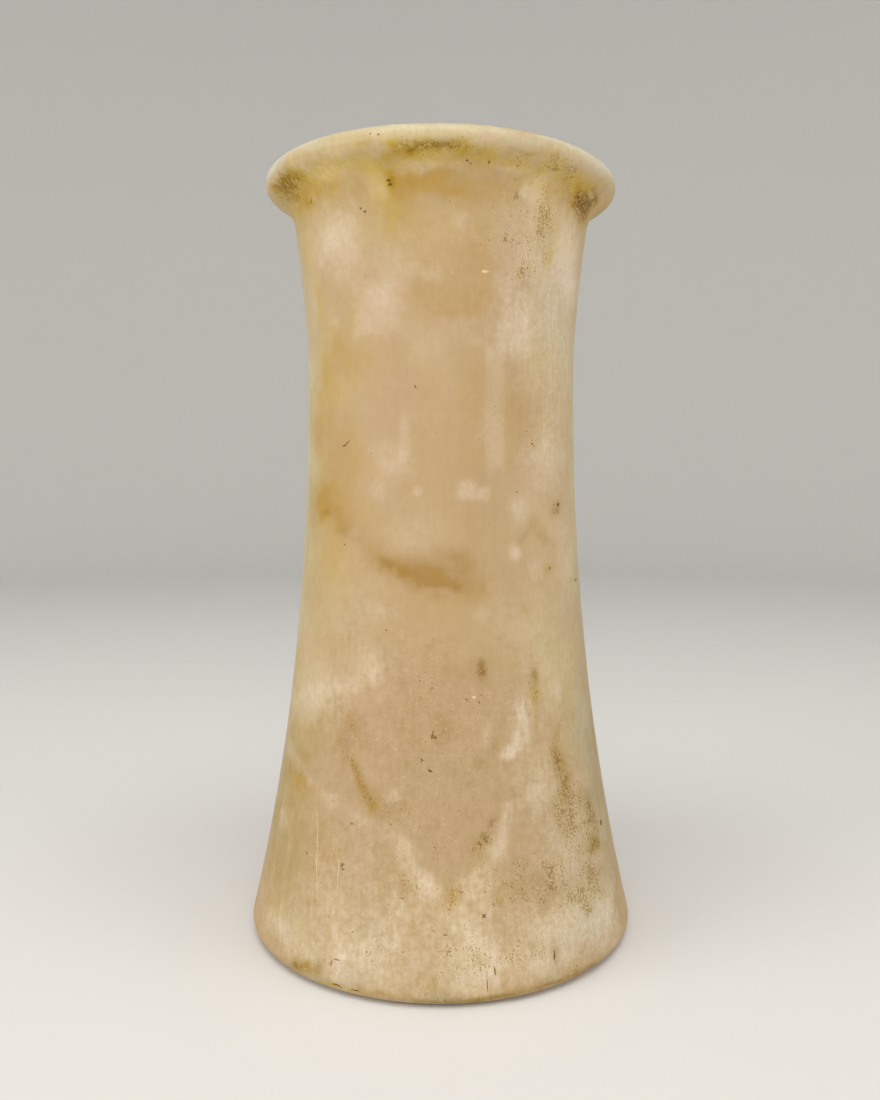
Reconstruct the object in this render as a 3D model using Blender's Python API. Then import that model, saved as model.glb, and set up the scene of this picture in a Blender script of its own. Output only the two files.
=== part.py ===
"""Alabaster cylinder vessel: one block of stone, shaped outside and bored hollow.

Metres, +Z up. The origin is the middle of the underside and the vessel's axis is +Z.
The wall is one outline turned round the axis. It runs from the underside out round the foot, up the
waisted side, round the rim, down the bore and in across the floor.
"""

import math

import bmesh
import bpy

# Whole vessel
HEIGHT = 0.220
SEGMENTS = 72

# Outer side: narrowest at the waist, flaring down to the foot and a little up to the neck
WAIST_RADIUS = 0.0393
WAIST_HEIGHT = 0.1682
FOOT_FLARE = 0.0187
FOOT_POWER = 2.17
FOOT_EDGE_RADIUS = 0.0029
NECK_FLARE = 0.0032
NECK_POWER = 1.45
NECK_HEIGHT = 0.2047

# Rim: a hollow curve under it, a rolled outer edge and a narrow flat land on top
RIM_RADIUS = 0.0507
RIM_WIDEST_HEIGHT = 0.2159
RIM_HOLLOW_UP = 0.0090
RIM_HOLLOW_DOWN = 0.0041
LAND_OUTER_RADIUS = 0.0451
LAND_INNER_RADIUS = 0.0410
RIM_SLANT = math.radians(0.65)

# Bore: waisted like the outside, with a rounded lip above and a rounded corner at the floor
MOUTH_RADIUS = 0.0365
LIP_HEIGHT = 0.2150
THROAT_RADIUS = 0.0315
CHAMBER_RADIUS = 0.0370
CHAMBER_HEIGHT = 0.0420
FLOOR_THICKNESS = 0.0170
FLOOR_FLAT_RADIUS = 0.0160

# Points along each stretch of the outline
FOOT_STEPS = 5
SIDE_STEPS = 20
HOLLOW_STEPS = 7
ROLL_STEPS = 6
LIP_STEPS = 4
BORE_STEPS = 5
CHAMBER_STEPS = 8
CORNER_STEPS = 6

SHARP_ANGLE = math.radians(40.0)
STONE_COLOUR = (0.546, 0.381, 0.190, 1.0)
STONE_ROUGHNESS = 0.42


def clear_scene():
    """Remove every object, so that only the vessel is left."""
    for old in list(bpy.data.objects):
        bpy.data.objects.remove(old, do_unlink=True)


def side_radius(height):
    """Radius of the outer side at a height: the waist plus a power curve towards the foot or the neck."""
    if height < WAIST_HEIGHT:
        share = (WAIST_HEIGHT - height) / WAIST_HEIGHT
        return WAIST_RADIUS + FOOT_FLARE * share**FOOT_POWER
    share = (height - WAIST_HEIGHT) / (NECK_HEIGHT - WAIST_HEIGHT)
    return WAIST_RADIUS + NECK_FLARE * share**NECK_POWER


def foot_lean():
    """Angle by which the side leans in from upright just above the foot's edge."""
    return math.atan(FOOT_FLARE * FOOT_POWER / WAIST_HEIGHT)


def foot_edge():
    """Arc from the flat underside round to where it meets the leaning side."""
    lean = foot_lean()
    meet_height = FOOT_EDGE_RADIUS * (1.0 + math.sin(lean))
    centre = side_radius(meet_height) - FOOT_EDGE_RADIUS * math.cos(lean)
    points = []
    for step in range(FOOT_STEPS + 1):
        turn = -math.pi / 2 + (math.pi / 2 + lean) * step / FOOT_STEPS
        points.append((
            centre + FOOT_EDGE_RADIUS * math.cos(turn),
            FOOT_EDGE_RADIUS + FOOT_EDGE_RADIUS * math.sin(turn),
        ))
    return points


def outer_side():
    """The waisted side, from above the foot's edge to the neck, at even heights."""
    start = FOOT_EDGE_RADIUS * (1.0 + math.sin(foot_lean()))
    heights = [start + (NECK_HEIGHT - start) * step / SIDE_STEPS for step in range(1, SIDE_STEPS + 1)]
    return [(side_radius(height), height) for height in heights]


def bezier(start, start_hold, end_hold, end, steps):
    """Points of a cubic curve after its start, each a pair of radius and height."""
    points = []
    for step in range(1, steps + 1):
        t = step / steps
        weights = ((1 - t)**3, 3 * (1 - t)**2 * t, 3 * (1 - t) * t**2, t**3)
        corners = (start, start_hold, end_hold, end)
        points.append(tuple(sum(w * c[axis] for w, c in zip(weights, corners)) for axis in (0, 1)))
    return points


def rim_hollow():
    """The concave curve under the rim, from the neck out to the rim's widest line."""
    neck = (side_radius(NECK_HEIGHT), NECK_HEIGHT)
    neck_lean = NECK_FLARE * NECK_POWER / (NECK_HEIGHT - WAIST_HEIGHT)
    neck_hold = (neck[0] + RIM_HOLLOW_UP * neck_lean, neck[1] + RIM_HOLLOW_UP)
    widest = (RIM_RADIUS, RIM_WIDEST_HEIGHT)
    widest_hold = (RIM_RADIUS, RIM_WIDEST_HEIGHT - RIM_HOLLOW_DOWN)
    return bezier(neck, neck_hold, widest_hold, widest, HOLLOW_STEPS)


def quarter(centre, half_width, half_height, start, steps):
    """Points of a quarter ellipse after its start, turning anticlockwise for positive steps."""
    count = abs(steps)
    way = math.copysign(1.0, steps)
    turns = [start + way * math.pi / 2 * step / count for step in range(1, count + 1)]
    return [(centre[0] + half_width * math.cos(t), centre[1] + half_height * math.sin(t)) for t in turns]


def rim_roll():
    """The rim's rounded outer edge, from its widest line over to the flat land."""
    return quarter(
        (LAND_OUTER_RADIUS, RIM_WIDEST_HEIGHT),
        RIM_RADIUS - LAND_OUTER_RADIUS,
        HEIGHT - RIM_WIDEST_HEIGHT,
        0.0,
        ROLL_STEPS,
    )


def inner_lip():
    """The land's inner end and the rounded lip that falls from it into the mouth."""
    lip = quarter(
        (LAND_INNER_RADIUS, LIP_HEIGHT),
        LAND_INNER_RADIUS - MOUTH_RADIUS,
        HEIGHT - LIP_HEIGHT,
        math.pi / 2,
        LIP_STEPS,
    )
    return [(LAND_INNER_RADIUS, HEIGHT)] + lip


def eased(start, end, steps):
    """Points after the start of a curve that is upright at both ends: half a cosine wave between them."""
    points = []
    for step in range(1, steps + 1):
        share = step / steps
        ease = (1.0 - math.cos(math.pi * share)) / 2
        points.append((start[0] + (end[0] - start[0]) * ease, start[1] + (end[1] - start[1]) * share))
    return points


def bore():
    """The hollow's wall: in from the mouth to the throat, then out to the chamber above the floor."""
    mouth = (MOUTH_RADIUS, LIP_HEIGHT)
    throat = (THROAT_RADIUS, WAIST_HEIGHT)
    chamber = (CHAMBER_RADIUS, CHAMBER_HEIGHT)
    return eased(mouth, throat, BORE_STEPS) + eased(throat, chamber, CHAMBER_STEPS)


def floor_corner():
    """The rounded corner from the chamber's wall in to the flat of the floor."""
    return quarter(
        (FLOOR_FLAT_RADIUS, CHAMBER_HEIGHT),
        CHAMBER_RADIUS - FLOOR_FLAT_RADIUS,
        CHAMBER_HEIGHT - FLOOR_THICKNESS,
        0.0,
        -CORNER_STEPS,
    )


def outline():
    """The whole outline, from the underside's edge round to the floor's flat."""
    return foot_edge() + outer_side() + rim_hollow() + rim_roll() + inner_lip() + bore() + floor_corner()


def turn_outline(work, points):
    """Spin the outline a full turn about +Z and close the underside and the floor with flat faces."""
    corners = [work.verts.new((radius, 0.0, height)) for radius, height in points]
    edges = [work.edges.new(pair) for pair in zip(corners, corners[1:])]
    bmesh.ops.spin(
        work,
        geom=corners + edges,
        cent=(0.0, 0.0, 0.0),
        axis=(0.0, 0.0, 1.0),
        angle=2 * math.pi,
        steps=SEGMENTS,
        use_merge=True,
    )
    rings = [edge for edge in work.edges if edge.is_boundary]
    bmesh.ops.holes_fill(work, edges=rings, sides=SEGMENTS)
    bmesh.ops.recalc_face_normals(work, faces=work.faces)


def slant_rim(work):
    """Tip the rim: heights fall towards +X, by nothing at the waist and by the full slant at the neck."""
    for corner in work.verts:
        share = (corner.co.z - WAIST_HEIGHT) / (NECK_HEIGHT - WAIST_HEIGHT)
        share = min(max(share, 0.0), 1.0)
        corner.co.z -= corner.co.x * math.tan(RIM_SLANT) * share


def alabaster():
    """Warm translucent-looking stone, worn to a soft sheen."""
    stone = bpy.data.materials.new("alabaster")
    stone.use_nodes = True
    shader = stone.node_tree.nodes["Principled BSDF"]
    shader.inputs["Base Color"].default_value = STONE_COLOUR
    shader.inputs["Roughness"].default_value = STONE_ROUGHNESS
    shader.inputs["Metallic"].default_value = 0.0
    return stone


def make_vessel():
    """The vessel, one closed body."""
    work = bmesh.new()
    turn_outline(work, outline())
    slant_rim(work)
    mesh = bpy.data.meshes.new("vessel")
    work.to_mesh(mesh)
    work.free()
    mesh.shade_smooth()
    mesh.set_sharp_from_angle(angle=SHARP_ANGLE)
    mesh.materials.append(alabaster())
    vessel = bpy.data.objects.new("vessel", mesh)
    bpy.context.scene.collection.objects.link(vessel)
    return vessel


clear_scene()
make_vessel()
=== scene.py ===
"""Looks of an alabaster cylinder vessel: a waisted stone jar with a rolled rim, stained, pitted and worn.

Metres, +Z up. The vessel stands on its underside with its axis on +Z. Angles round it are in degrees from
the front (-Y), growing towards +X. Heights are above the underside.
"""

import logging
import math
from dataclasses import dataclass
from enum import Enum
from itertools import pairwise, product
from typing import Any, Union

import bpy
import numpy as np
from mathutils import Matrix, Vector


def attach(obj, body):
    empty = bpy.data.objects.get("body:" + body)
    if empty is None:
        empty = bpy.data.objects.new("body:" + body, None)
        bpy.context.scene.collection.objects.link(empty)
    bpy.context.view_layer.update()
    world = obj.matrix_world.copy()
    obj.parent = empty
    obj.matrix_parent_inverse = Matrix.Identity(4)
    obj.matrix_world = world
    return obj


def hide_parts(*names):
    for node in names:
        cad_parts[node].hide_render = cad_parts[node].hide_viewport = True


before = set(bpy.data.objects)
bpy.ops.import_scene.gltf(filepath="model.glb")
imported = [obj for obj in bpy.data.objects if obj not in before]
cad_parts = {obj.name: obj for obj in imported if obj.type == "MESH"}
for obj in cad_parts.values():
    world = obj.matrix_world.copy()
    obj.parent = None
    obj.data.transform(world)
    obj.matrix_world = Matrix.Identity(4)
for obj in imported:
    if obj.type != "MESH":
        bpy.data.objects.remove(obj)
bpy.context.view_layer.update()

LOG = logging.getLogger("vessel")

Pair = tuple[float, float]
Triple = tuple[float, float, float]
Colour = tuple[float, float, float, float]
Shares = tuple[float, ...]


class Stretch(Enum):
    """Stretches of the outline, in the order in which it runs; each value ends with the number of rows."""

    UNDERSIDE = ("underside", 5)
    FOOT = ("foot", 12)
    SIDE = ("side", 262)
    HOLLOW = ("hollow", 26)
    ROLL = ("roll", 12)
    LAND = ("land", 3)
    LIP = ("lip", 6)
    BORE = ("bore", 26)
    CORNER = ("corner", 6)
    FLOOR = ("floor", 3)

    @property
    def rows(self) -> int:
        """Number of rows of points."""
        return self.value[1]


OUTER_WALL = (Stretch.FOOT, Stretch.SIDE, Stretch.HOLLOW, Stretch.ROLL)


class Tone(Enum):
    """A colour or state of the stone, some of them with painted light and shade; the value names the mesh
    attribute that holds its strength.
    """

    # milky pale stone, and painted light under the rim, on the left of the neck and in a streak at 21
    # degrees
    MILK = "milk"
    HONEY = "honey"
    OCHRE = "ochre"
    TAN = "tan"
    OLIVE = "olive"
    UMBER = "umber"
    # rose-brown stone, and painted shade low on the right edge
    ROSE = "rose"
    # sage-green stone, and painted sheen and shading on the side edges and the rim's roll
    SAGE = "sage"
    # painted shade: darker side edges, middle of the front and foot edge
    DUSK = "dusk"
    PITS = "pits"
    CRUST = "crust"
    # rubbed pale stone, and painted sheen on the rim's roll and the left edge
    CHALK = "chalk"
    WEAR = "wear"
    SILT = "silt"
    BROAD = "broad"
    CLOUD = "cloud"


def ramp(values: np.ndarray, start: float, reach: float) -> np.ndarray:
    """Straight climb from nought at the start to one a reach further on, kept level outside."""
    return np.clip((values - start) / reach, 0.0, 1.0)


def lengths(curve: np.ndarray) -> np.ndarray:
    """Distance along a curve to each of its points, starting from nought."""
    steps = np.hypot(*np.diff(curve, axis=0).T)
    return np.concatenate([[0.0], np.cumsum(steps)])


def ring_quads(rings: int, columns: int) -> np.ndarray:
    """Corners of the four-sided faces between rings of points, each ring closed on itself.

    Args:
        rings: How many rings there are.
        columns: How many points each has.

    Returns:
        Four whole numbers for each face, for points numbered ring after ring.
    """
    here = np.arange(columns)
    following = (here + 1) % columns
    base = np.arange(rings - 1)[:, None] * columns
    above = base + columns
    return np.stack([base + here, base + following, above + following, above + here], axis=-1).reshape(-1, 4)


@dataclass(frozen=True)
class Outline:
    """The turned outline: radii from the axis and heights above the underside."""

    height: float = 0.220
    waist_radius: float = 0.0393
    waist_height: float = 0.1682
    foot_flare: float = 0.0187
    foot_power: float = 2.17
    foot_edge_radius: float = 0.0029
    neck_flare: float = 0.0032
    neck_power: float = 1.45
    neck_height: float = 0.2047
    rim_radius: float = 0.0507
    rim_widest_height: float = 0.2159
    rim_hollow_up: float = 0.0090
    rim_hollow_down: float = 0.0041
    land_outer_radius: float = 0.0451
    land_inner_radius: float = 0.0410
    rim_slant: float = math.radians(0.65)
    mouth_radius: float = 0.0365
    lip_height: float = 0.2150
    throat_radius: float = 0.0315
    chamber_radius: float = 0.0370
    chamber_height: float = 0.0420
    floor_thickness: float = 0.0170
    floor_flat_radius: float = 0.0160
    curve_points: int = 240

    def side_radius(self, height: np.ndarray) -> np.ndarray:
        """Radius of the outer side: the waist plus a power curve of the distance below or above it.

        Args:
            height: Heights above the underside.

        Returns:
            The radius at each height.
        """
        below = np.clip(1.0 - height / self.waist_height, 0.0, None)
        above = np.clip((height - self.waist_height) / (self.neck_height - self.waist_height), 0.0, None)
        to_foot = self.foot_flare * below**self.foot_power
        to_neck = self.neck_flare * above**self.neck_power
        return self.waist_radius + to_foot + to_neck

    def tip(self, across: np.ndarray, height: np.ndarray) -> np.ndarray:
        """How far the slant lowers a point: its place across times the slant, growing from waist to neck.

        Args:
            across: Distances along +X.
            height: Heights above the underside.

        Returns:
            The drop of each point.
        """
        share = ramp(height, self.waist_height, self.neck_height - self.waist_height)
        return across * math.tan(self.rim_slant) * share

    def _foot_lean(self) -> float:
        """Angle by which the side leans in from upright just above the foot's edge."""
        return math.atan(self.foot_flare * self.foot_power / self.waist_height)

    def _ellipse(self, centre: Pair, size: Pair, start: float, end: float) -> np.ndarray:
        """Arc of an upright ellipse: the centre plus its half sizes times the cosine and sine of the turn.

        Args:
            centre: Radius and height of the middle.
            size: Half width and half height.
            start: First turn, in radians from outwards.
            end: Last turn.

        Returns:
            Pairs of radius and height.
        """
        turn = np.linspace(start, end, self.curve_points)
        return np.stack([centre[0] + size[0] * np.cos(turn), centre[1] + size[1] * np.sin(turn)], axis=1)

    def _line(self, start: Pair, end: Pair) -> np.ndarray:
        """Straight run between two pairs of radius and height."""
        return np.linspace(start, end, self.curve_points)

    def _hollow(self) -> np.ndarray:
        """Cubic curve under the rim: it leaves the neck along the side and meets the widest line upright.

        Returns:
            Pairs of radius and height.
        """
        neck = np.array([float(self.side_radius(np.array(self.neck_height))), self.neck_height])
        lean = self.neck_flare * self.neck_power / (self.neck_height - self.waist_height)
        widest = np.array([self.rim_radius, self.rim_widest_height])
        corners = (
            neck,
            neck + self.rim_hollow_up * np.array([lean, 1.0]),
            widest - np.array([0.0, self.rim_hollow_down]),
            widest,
        )
        t = np.linspace(0.0, 1.0, self.curve_points)[:, None]
        weights = ((1 - t)**3, 3 * (1 - t)**2 * t, 3 * (1 - t) * t**2, t**3)
        return sum(weight * corner for weight, corner in zip(weights, corners))

    def _eased(self, start: Pair, end: Pair) -> np.ndarray:
        """Half a cosine wave in radius over even steps of height, upright at both ends.

        Args:
            start: First radius and height.
            end: Last radius and height.

        Returns:
            Pairs of radius and height.
        """
        share = np.linspace(0.0, 1.0, self.curve_points)
        radius = start[0] + (end[0] - start[0]) * ((1.0 - np.cos(np.pi * share)) / 2)
        height = start[1] + (end[1] - start[1]) * share
        return np.stack([radius, height], axis=1)

    def _bore(self) -> np.ndarray:
        """The hollow's wall, in from the mouth to the throat and out again to the chamber.

        Returns:
            Pairs of radius and height.
        """
        mouth = (self.mouth_radius, self.lip_height)
        throat = (self.throat_radius, self.waist_height)
        chamber = (self.chamber_radius, self.chamber_height)
        return np.concatenate([self._eased(mouth, throat), self._eased(throat, chamber)[1:]])

    def curves(self) -> dict[Stretch, np.ndarray]:
        """Each stretch of the outline, starting where the last one ends.

        Returns:
            Pairs of radius and height for each stretch.
        """
        lean = self._foot_lean()
        edge = self.foot_edge_radius
        meet = edge * (1.0 + math.sin(lean))
        centre = float(self.side_radius(np.array(meet))) - edge * math.cos(lean)
        heights = np.linspace(meet, self.neck_height, self.curve_points)
        outer, inner, flat = self.land_outer_radius, self.land_inner_radius, self.floor_flat_radius
        roll_size = (self.rim_radius - outer, self.height - self.rim_widest_height)
        lip_size = (inner - self.mouth_radius, self.height - self.lip_height)
        corner_size = (self.chamber_radius - flat, self.chamber_height - self.floor_thickness)
        quarter = math.pi / 2
        return {
            Stretch.UNDERSIDE: self._line((0.0, 0.0), (centre, 0.0)),
            Stretch.FOOT: self._ellipse((centre, edge), (edge, edge), -quarter, lean),
            Stretch.SIDE: np.stack([self.side_radius(heights), heights], axis=1),
            Stretch.HOLLOW: self._hollow(),
            Stretch.ROLL: self._ellipse((outer, self.rim_widest_height), roll_size, 0.0, quarter),
            Stretch.LAND: self._line((outer, self.height), (inner, self.height)),
            Stretch.LIP: self._ellipse((inner, self.lip_height), lip_size, quarter, math.pi),
            Stretch.BORE: self._bore(),
            Stretch.CORNER: self._ellipse((flat, self.chamber_height), corner_size, 0.0, -quarter),
            Stretch.FLOOR: self._line((flat, self.floor_thickness), (0.0, self.floor_thickness)),
        }


class Clouds:
    """Smooth random values in space, for uneven stone."""

    table_size: int = 1024
    octave_shift: float = 17.3

    def __init__(self, seed: int) -> None:
        """Shuffle a table of lattice values.

        Args:
            seed: Chooses the shuffle.
        """
        draws = np.random.default_rng(seed)
        self.order = draws.permutation(self.table_size)
        self.values = draws.uniform(-1.0, 1.0, self.table_size)

    def _corner(self, cell: np.ndarray) -> np.ndarray:
        """Random value of each lattice cell, looked up by its three whole numbers one after another.

        Args:
            cell: Three whole numbers last.

        Returns:
            A value from -1 to 1 for each cell.
        """
        index = self.order[cell[..., 0] % self.table_size]
        index = self.order[(index + cell[..., 1]) % self.table_size]
        return self.values[(index + cell[..., 2]) % self.table_size]

    def at(self, points: np.ndarray, size: float, octaves: int) -> np.ndarray:
        """Lattice values blended by an eased step along each axis, summed over octaves of half the size.

        Args:
            points: Places, three coordinates last.
            size: Length of one lattice cell of the first octave.
            octaves: How many sizes are added, each at half the last one's strength.

        Returns:
            A value near -1 to 1 for each place.
        """
        total = np.zeros(points.shape[:-1])
        for octave in range(octaves):
            scaled = points / (size / 2**octave) + self.octave_shift * octave
            cell = np.floor(scaled).astype(int)
            part = scaled - cell
            ease = part * part * (3.0 - 2.0 * part)
            for corner in product((0, 1), repeat=3):
                weight = np.prod(np.where(corner, ease, 1.0 - ease), axis=-1)
                total += weight * self._corner(cell + np.array(corner)) / 2**octave
        return total


class Surface:
    """The turned surface as a grid: a row for each point of the outline and a column for each angle."""

    def __init__(self, outline: Outline, columns: int, squeeze: float) -> None:
        """Lay out rows evenly along each stretch, and columns closer together at the front.

        Args:
            outline: The turned outline.
            columns: How many columns go round.
            squeeze: How much closer the front columns stand; the angle is the turn less this times its sine.
        """
        self.outline = outline
        self.stretches = []
        rows, runs, start = [], [], 0.0
        for stretch, curve in outline.curves().items():
            along = lengths(curve)
            wanted = along[-1] * np.arange(stretch.rows) / stretch.rows
            rows.append(np.stack([np.interp(wanted, along, curve[:, axis]) for axis in (0, 1)], axis=1))
            runs.append(start + wanted)
            self.stretches += [stretch] * stretch.rows
            start += along[-1]
        rows.append(np.array([[0.0, outline.floor_thickness]]))
        runs.append(np.array([start]))
        self.stretches.append(Stretch.FLOOR)
        profile = np.concatenate(rows)
        self.run = np.concatenate(runs)
        self.radius, self.height = profile.T
        turn = np.linspace(-math.pi, math.pi, columns, endpoint=False)
        self.angle = turn - squeeze * np.sin(turn)
        ahead = np.gradient(profile, self.run, axis=0)
        ahead /= np.hypot(*ahead.T)[:, None]
        self.normal = np.stack([ahead[:, 1], -ahead[:, 0]], axis=1)
        self.points = self.raised(np.zeros((len(profile), columns)))
        climbing = self.is_on(*OUTER_WALL)[:, 0] > 0.0
        self.climb = (self.height[climbing], self.run[climbing], self.radius[climbing])

    def raised(self, depth: np.ndarray) -> np.ndarray:
        """Points of the surface cut back by a depth along its outline's normal, with the rim slanted.

        Args:
            depth: How far each point is cut into the stone.

        Returns:
            Three coordinates for each row and column.
        """
        radius = self.radius[:, None] - self.normal[:, :1] * depth
        height = self.height[:, None] - self.normal[:, 1:] * depth
        across = radius * np.sin(self.angle)
        tipped = height - self.outline.tip(across, height)
        return np.stack([across, -radius * np.cos(self.angle), tipped], axis=-1)

    def is_on(self, *stretches: Stretch) -> np.ndarray:
        """One for the rows of the named stretches and nought elsewhere, as a column."""
        return np.array([stretch in stretches for stretch in self.stretches], dtype=float)[:, None]

    def run_at(self, height: float) -> float:
        """Distance along the outline to a height on the outside."""
        return float(np.interp(height, self.climb[0], self.climb[1]))

    def radius_at(self, height: float) -> float:
        """Radius of the outside at a height."""
        return float(np.interp(height, self.climb[0], self.climb[2]))

    def band(self, height: float, width: float) -> np.ndarray:
        """A soft ring at a height on the outside: e to minus the squared distance over the width."""
        return np.exp(-(((self.run - self.run_at(height)) / width)**2))[:, None]

    def offsets(self, angle: float, height: float, turn: float) -> tuple[np.ndarray, np.ndarray]:
        """Offsets from a place, measured on the surface and turned about the place.

        Args:
            angle: Angle of the place from the front, in degrees.
            height: Its height.
            turn: Degrees by which the axes are turned, anticlockwise as seen from outside.

        Returns:
            Offsets along the first and the second turned axis, for each row and column.
        """
        apart = (self.angle - math.radians(angle) + math.pi) % (2 * math.pi) - math.pi
        level = apart[None, :] * self.radius[:, None]
        up = np.broadcast_to((self.run - self.run_at(height))[:, None], level.shape)
        cosine, sine = math.cos(math.radians(turn)), math.sin(math.radians(turn))
        return level * cosine + up * sine, up * cosine - level * sine


@dataclass(frozen=True)
class Blotch:
    """A patch on the outside: half sizes in metres, and an edge power from 2, soft, to 10, firm."""

    angle: float
    height: float
    across: float
    up: float
    strength: float
    turn: float = 0.0
    edge: float = 2.0
    ragged: float = 1.0

    def spread(self, surface: Surface, wobble: np.ndarray) -> np.ndarray:
        """Strength times e to minus the sum of both offsets over their half sizes, raised to the edge power.

        Args:
            surface: The grid.
            wobble: Two uneven offsets for each point, which make the outline natural.

        Returns:
            The patch's strength at each point of the grid.
        """
        level, up = surface.offsets(self.angle, self.height, self.turn)
        reach = min(self.across, self.up) * self.ragged
        level = np.abs(level + wobble[0] * reach) / self.across
        up = np.abs(up + wobble[1] * reach) / self.up
        return self.strength * np.exp(-(level**self.edge) - up**self.edge)


@dataclass(frozen=True)
class Trail:
    """A soft line on the outside through places of angle and height, with a half width at each place.

    It is broken up along its way by an uneven share of its strength, and a least share always stays.
    """

    places: tuple[Triple, ...]
    strength: float
    steady: float = 0.75
    uneven: float = 0.9
    least: float = 0.15

    def spread(self, surface: Surface, wobble: np.ndarray) -> np.ndarray:
        """Strength times e to minus the squared distance from the nearest stretch over its half width.

        Args:
            surface: The grid.
            wobble: Two uneven offsets for each point.

        Returns:
            The line's strength at each point of the grid.
        """
        nearest = np.zeros(surface.points.shape[:-1])
        for (angle, height, width), (end_angle, end_height, end_width) in pairwise(self.places):
            level, up = surface.offsets(angle, height, 0.0)
            aside = math.radians(end_angle - angle) * surface.radius_at(height)
            climb = surface.run_at(end_height) - surface.run_at(height)
            level = level + wobble[0] * width
            up = up + wobble[1] * width
            share = np.clip((level * aside + up * climb) / math.hypot(aside, climb)**2, 0.0, 1.0)
            away = np.hypot(level - share * aside, up - share * climb)
            half = width + (end_width - width) * share
            nearest = np.maximum(nearest, np.exp(-((away / half)**2)))
        return self.strength * nearest * np.clip(self.steady + self.uneven * wobble[1], self.least, 1.0)


@dataclass(frozen=True)
class Chip:
    """A small break on the outside: a bowl with half sizes and a depth, in metres, and a ragged share."""

    angle: float
    height: float
    across: float
    up: float
    depth: float
    ragged: float = 0.5

    def cut(self, surface: Surface, wobble: np.ndarray) -> np.ndarray:
        """Depth times one less the squared offsets over their half sizes, where that is above nought.

        Args:
            surface: The grid.
            wobble: Two uneven offsets for each point.

        Returns:
            How deep the chip cuts at each point of the grid.
        """
        level, up = surface.offsets(self.angle, self.height, 0.0)
        level = (level + wobble[0] * self.across * self.ragged) / self.across
        up = (up + wobble[1] * self.up * self.ragged) / self.up
        return self.depth * np.clip(1.0 - level**2 - up**2, 0.0, None)


@dataclass(frozen=True)
class Stroke:
    """A crisp mark drawn by the material: its full size across and up before it is turned, in metres."""

    angle: float
    height: float
    across: float
    up: float
    turn: float = 0.0
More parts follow.
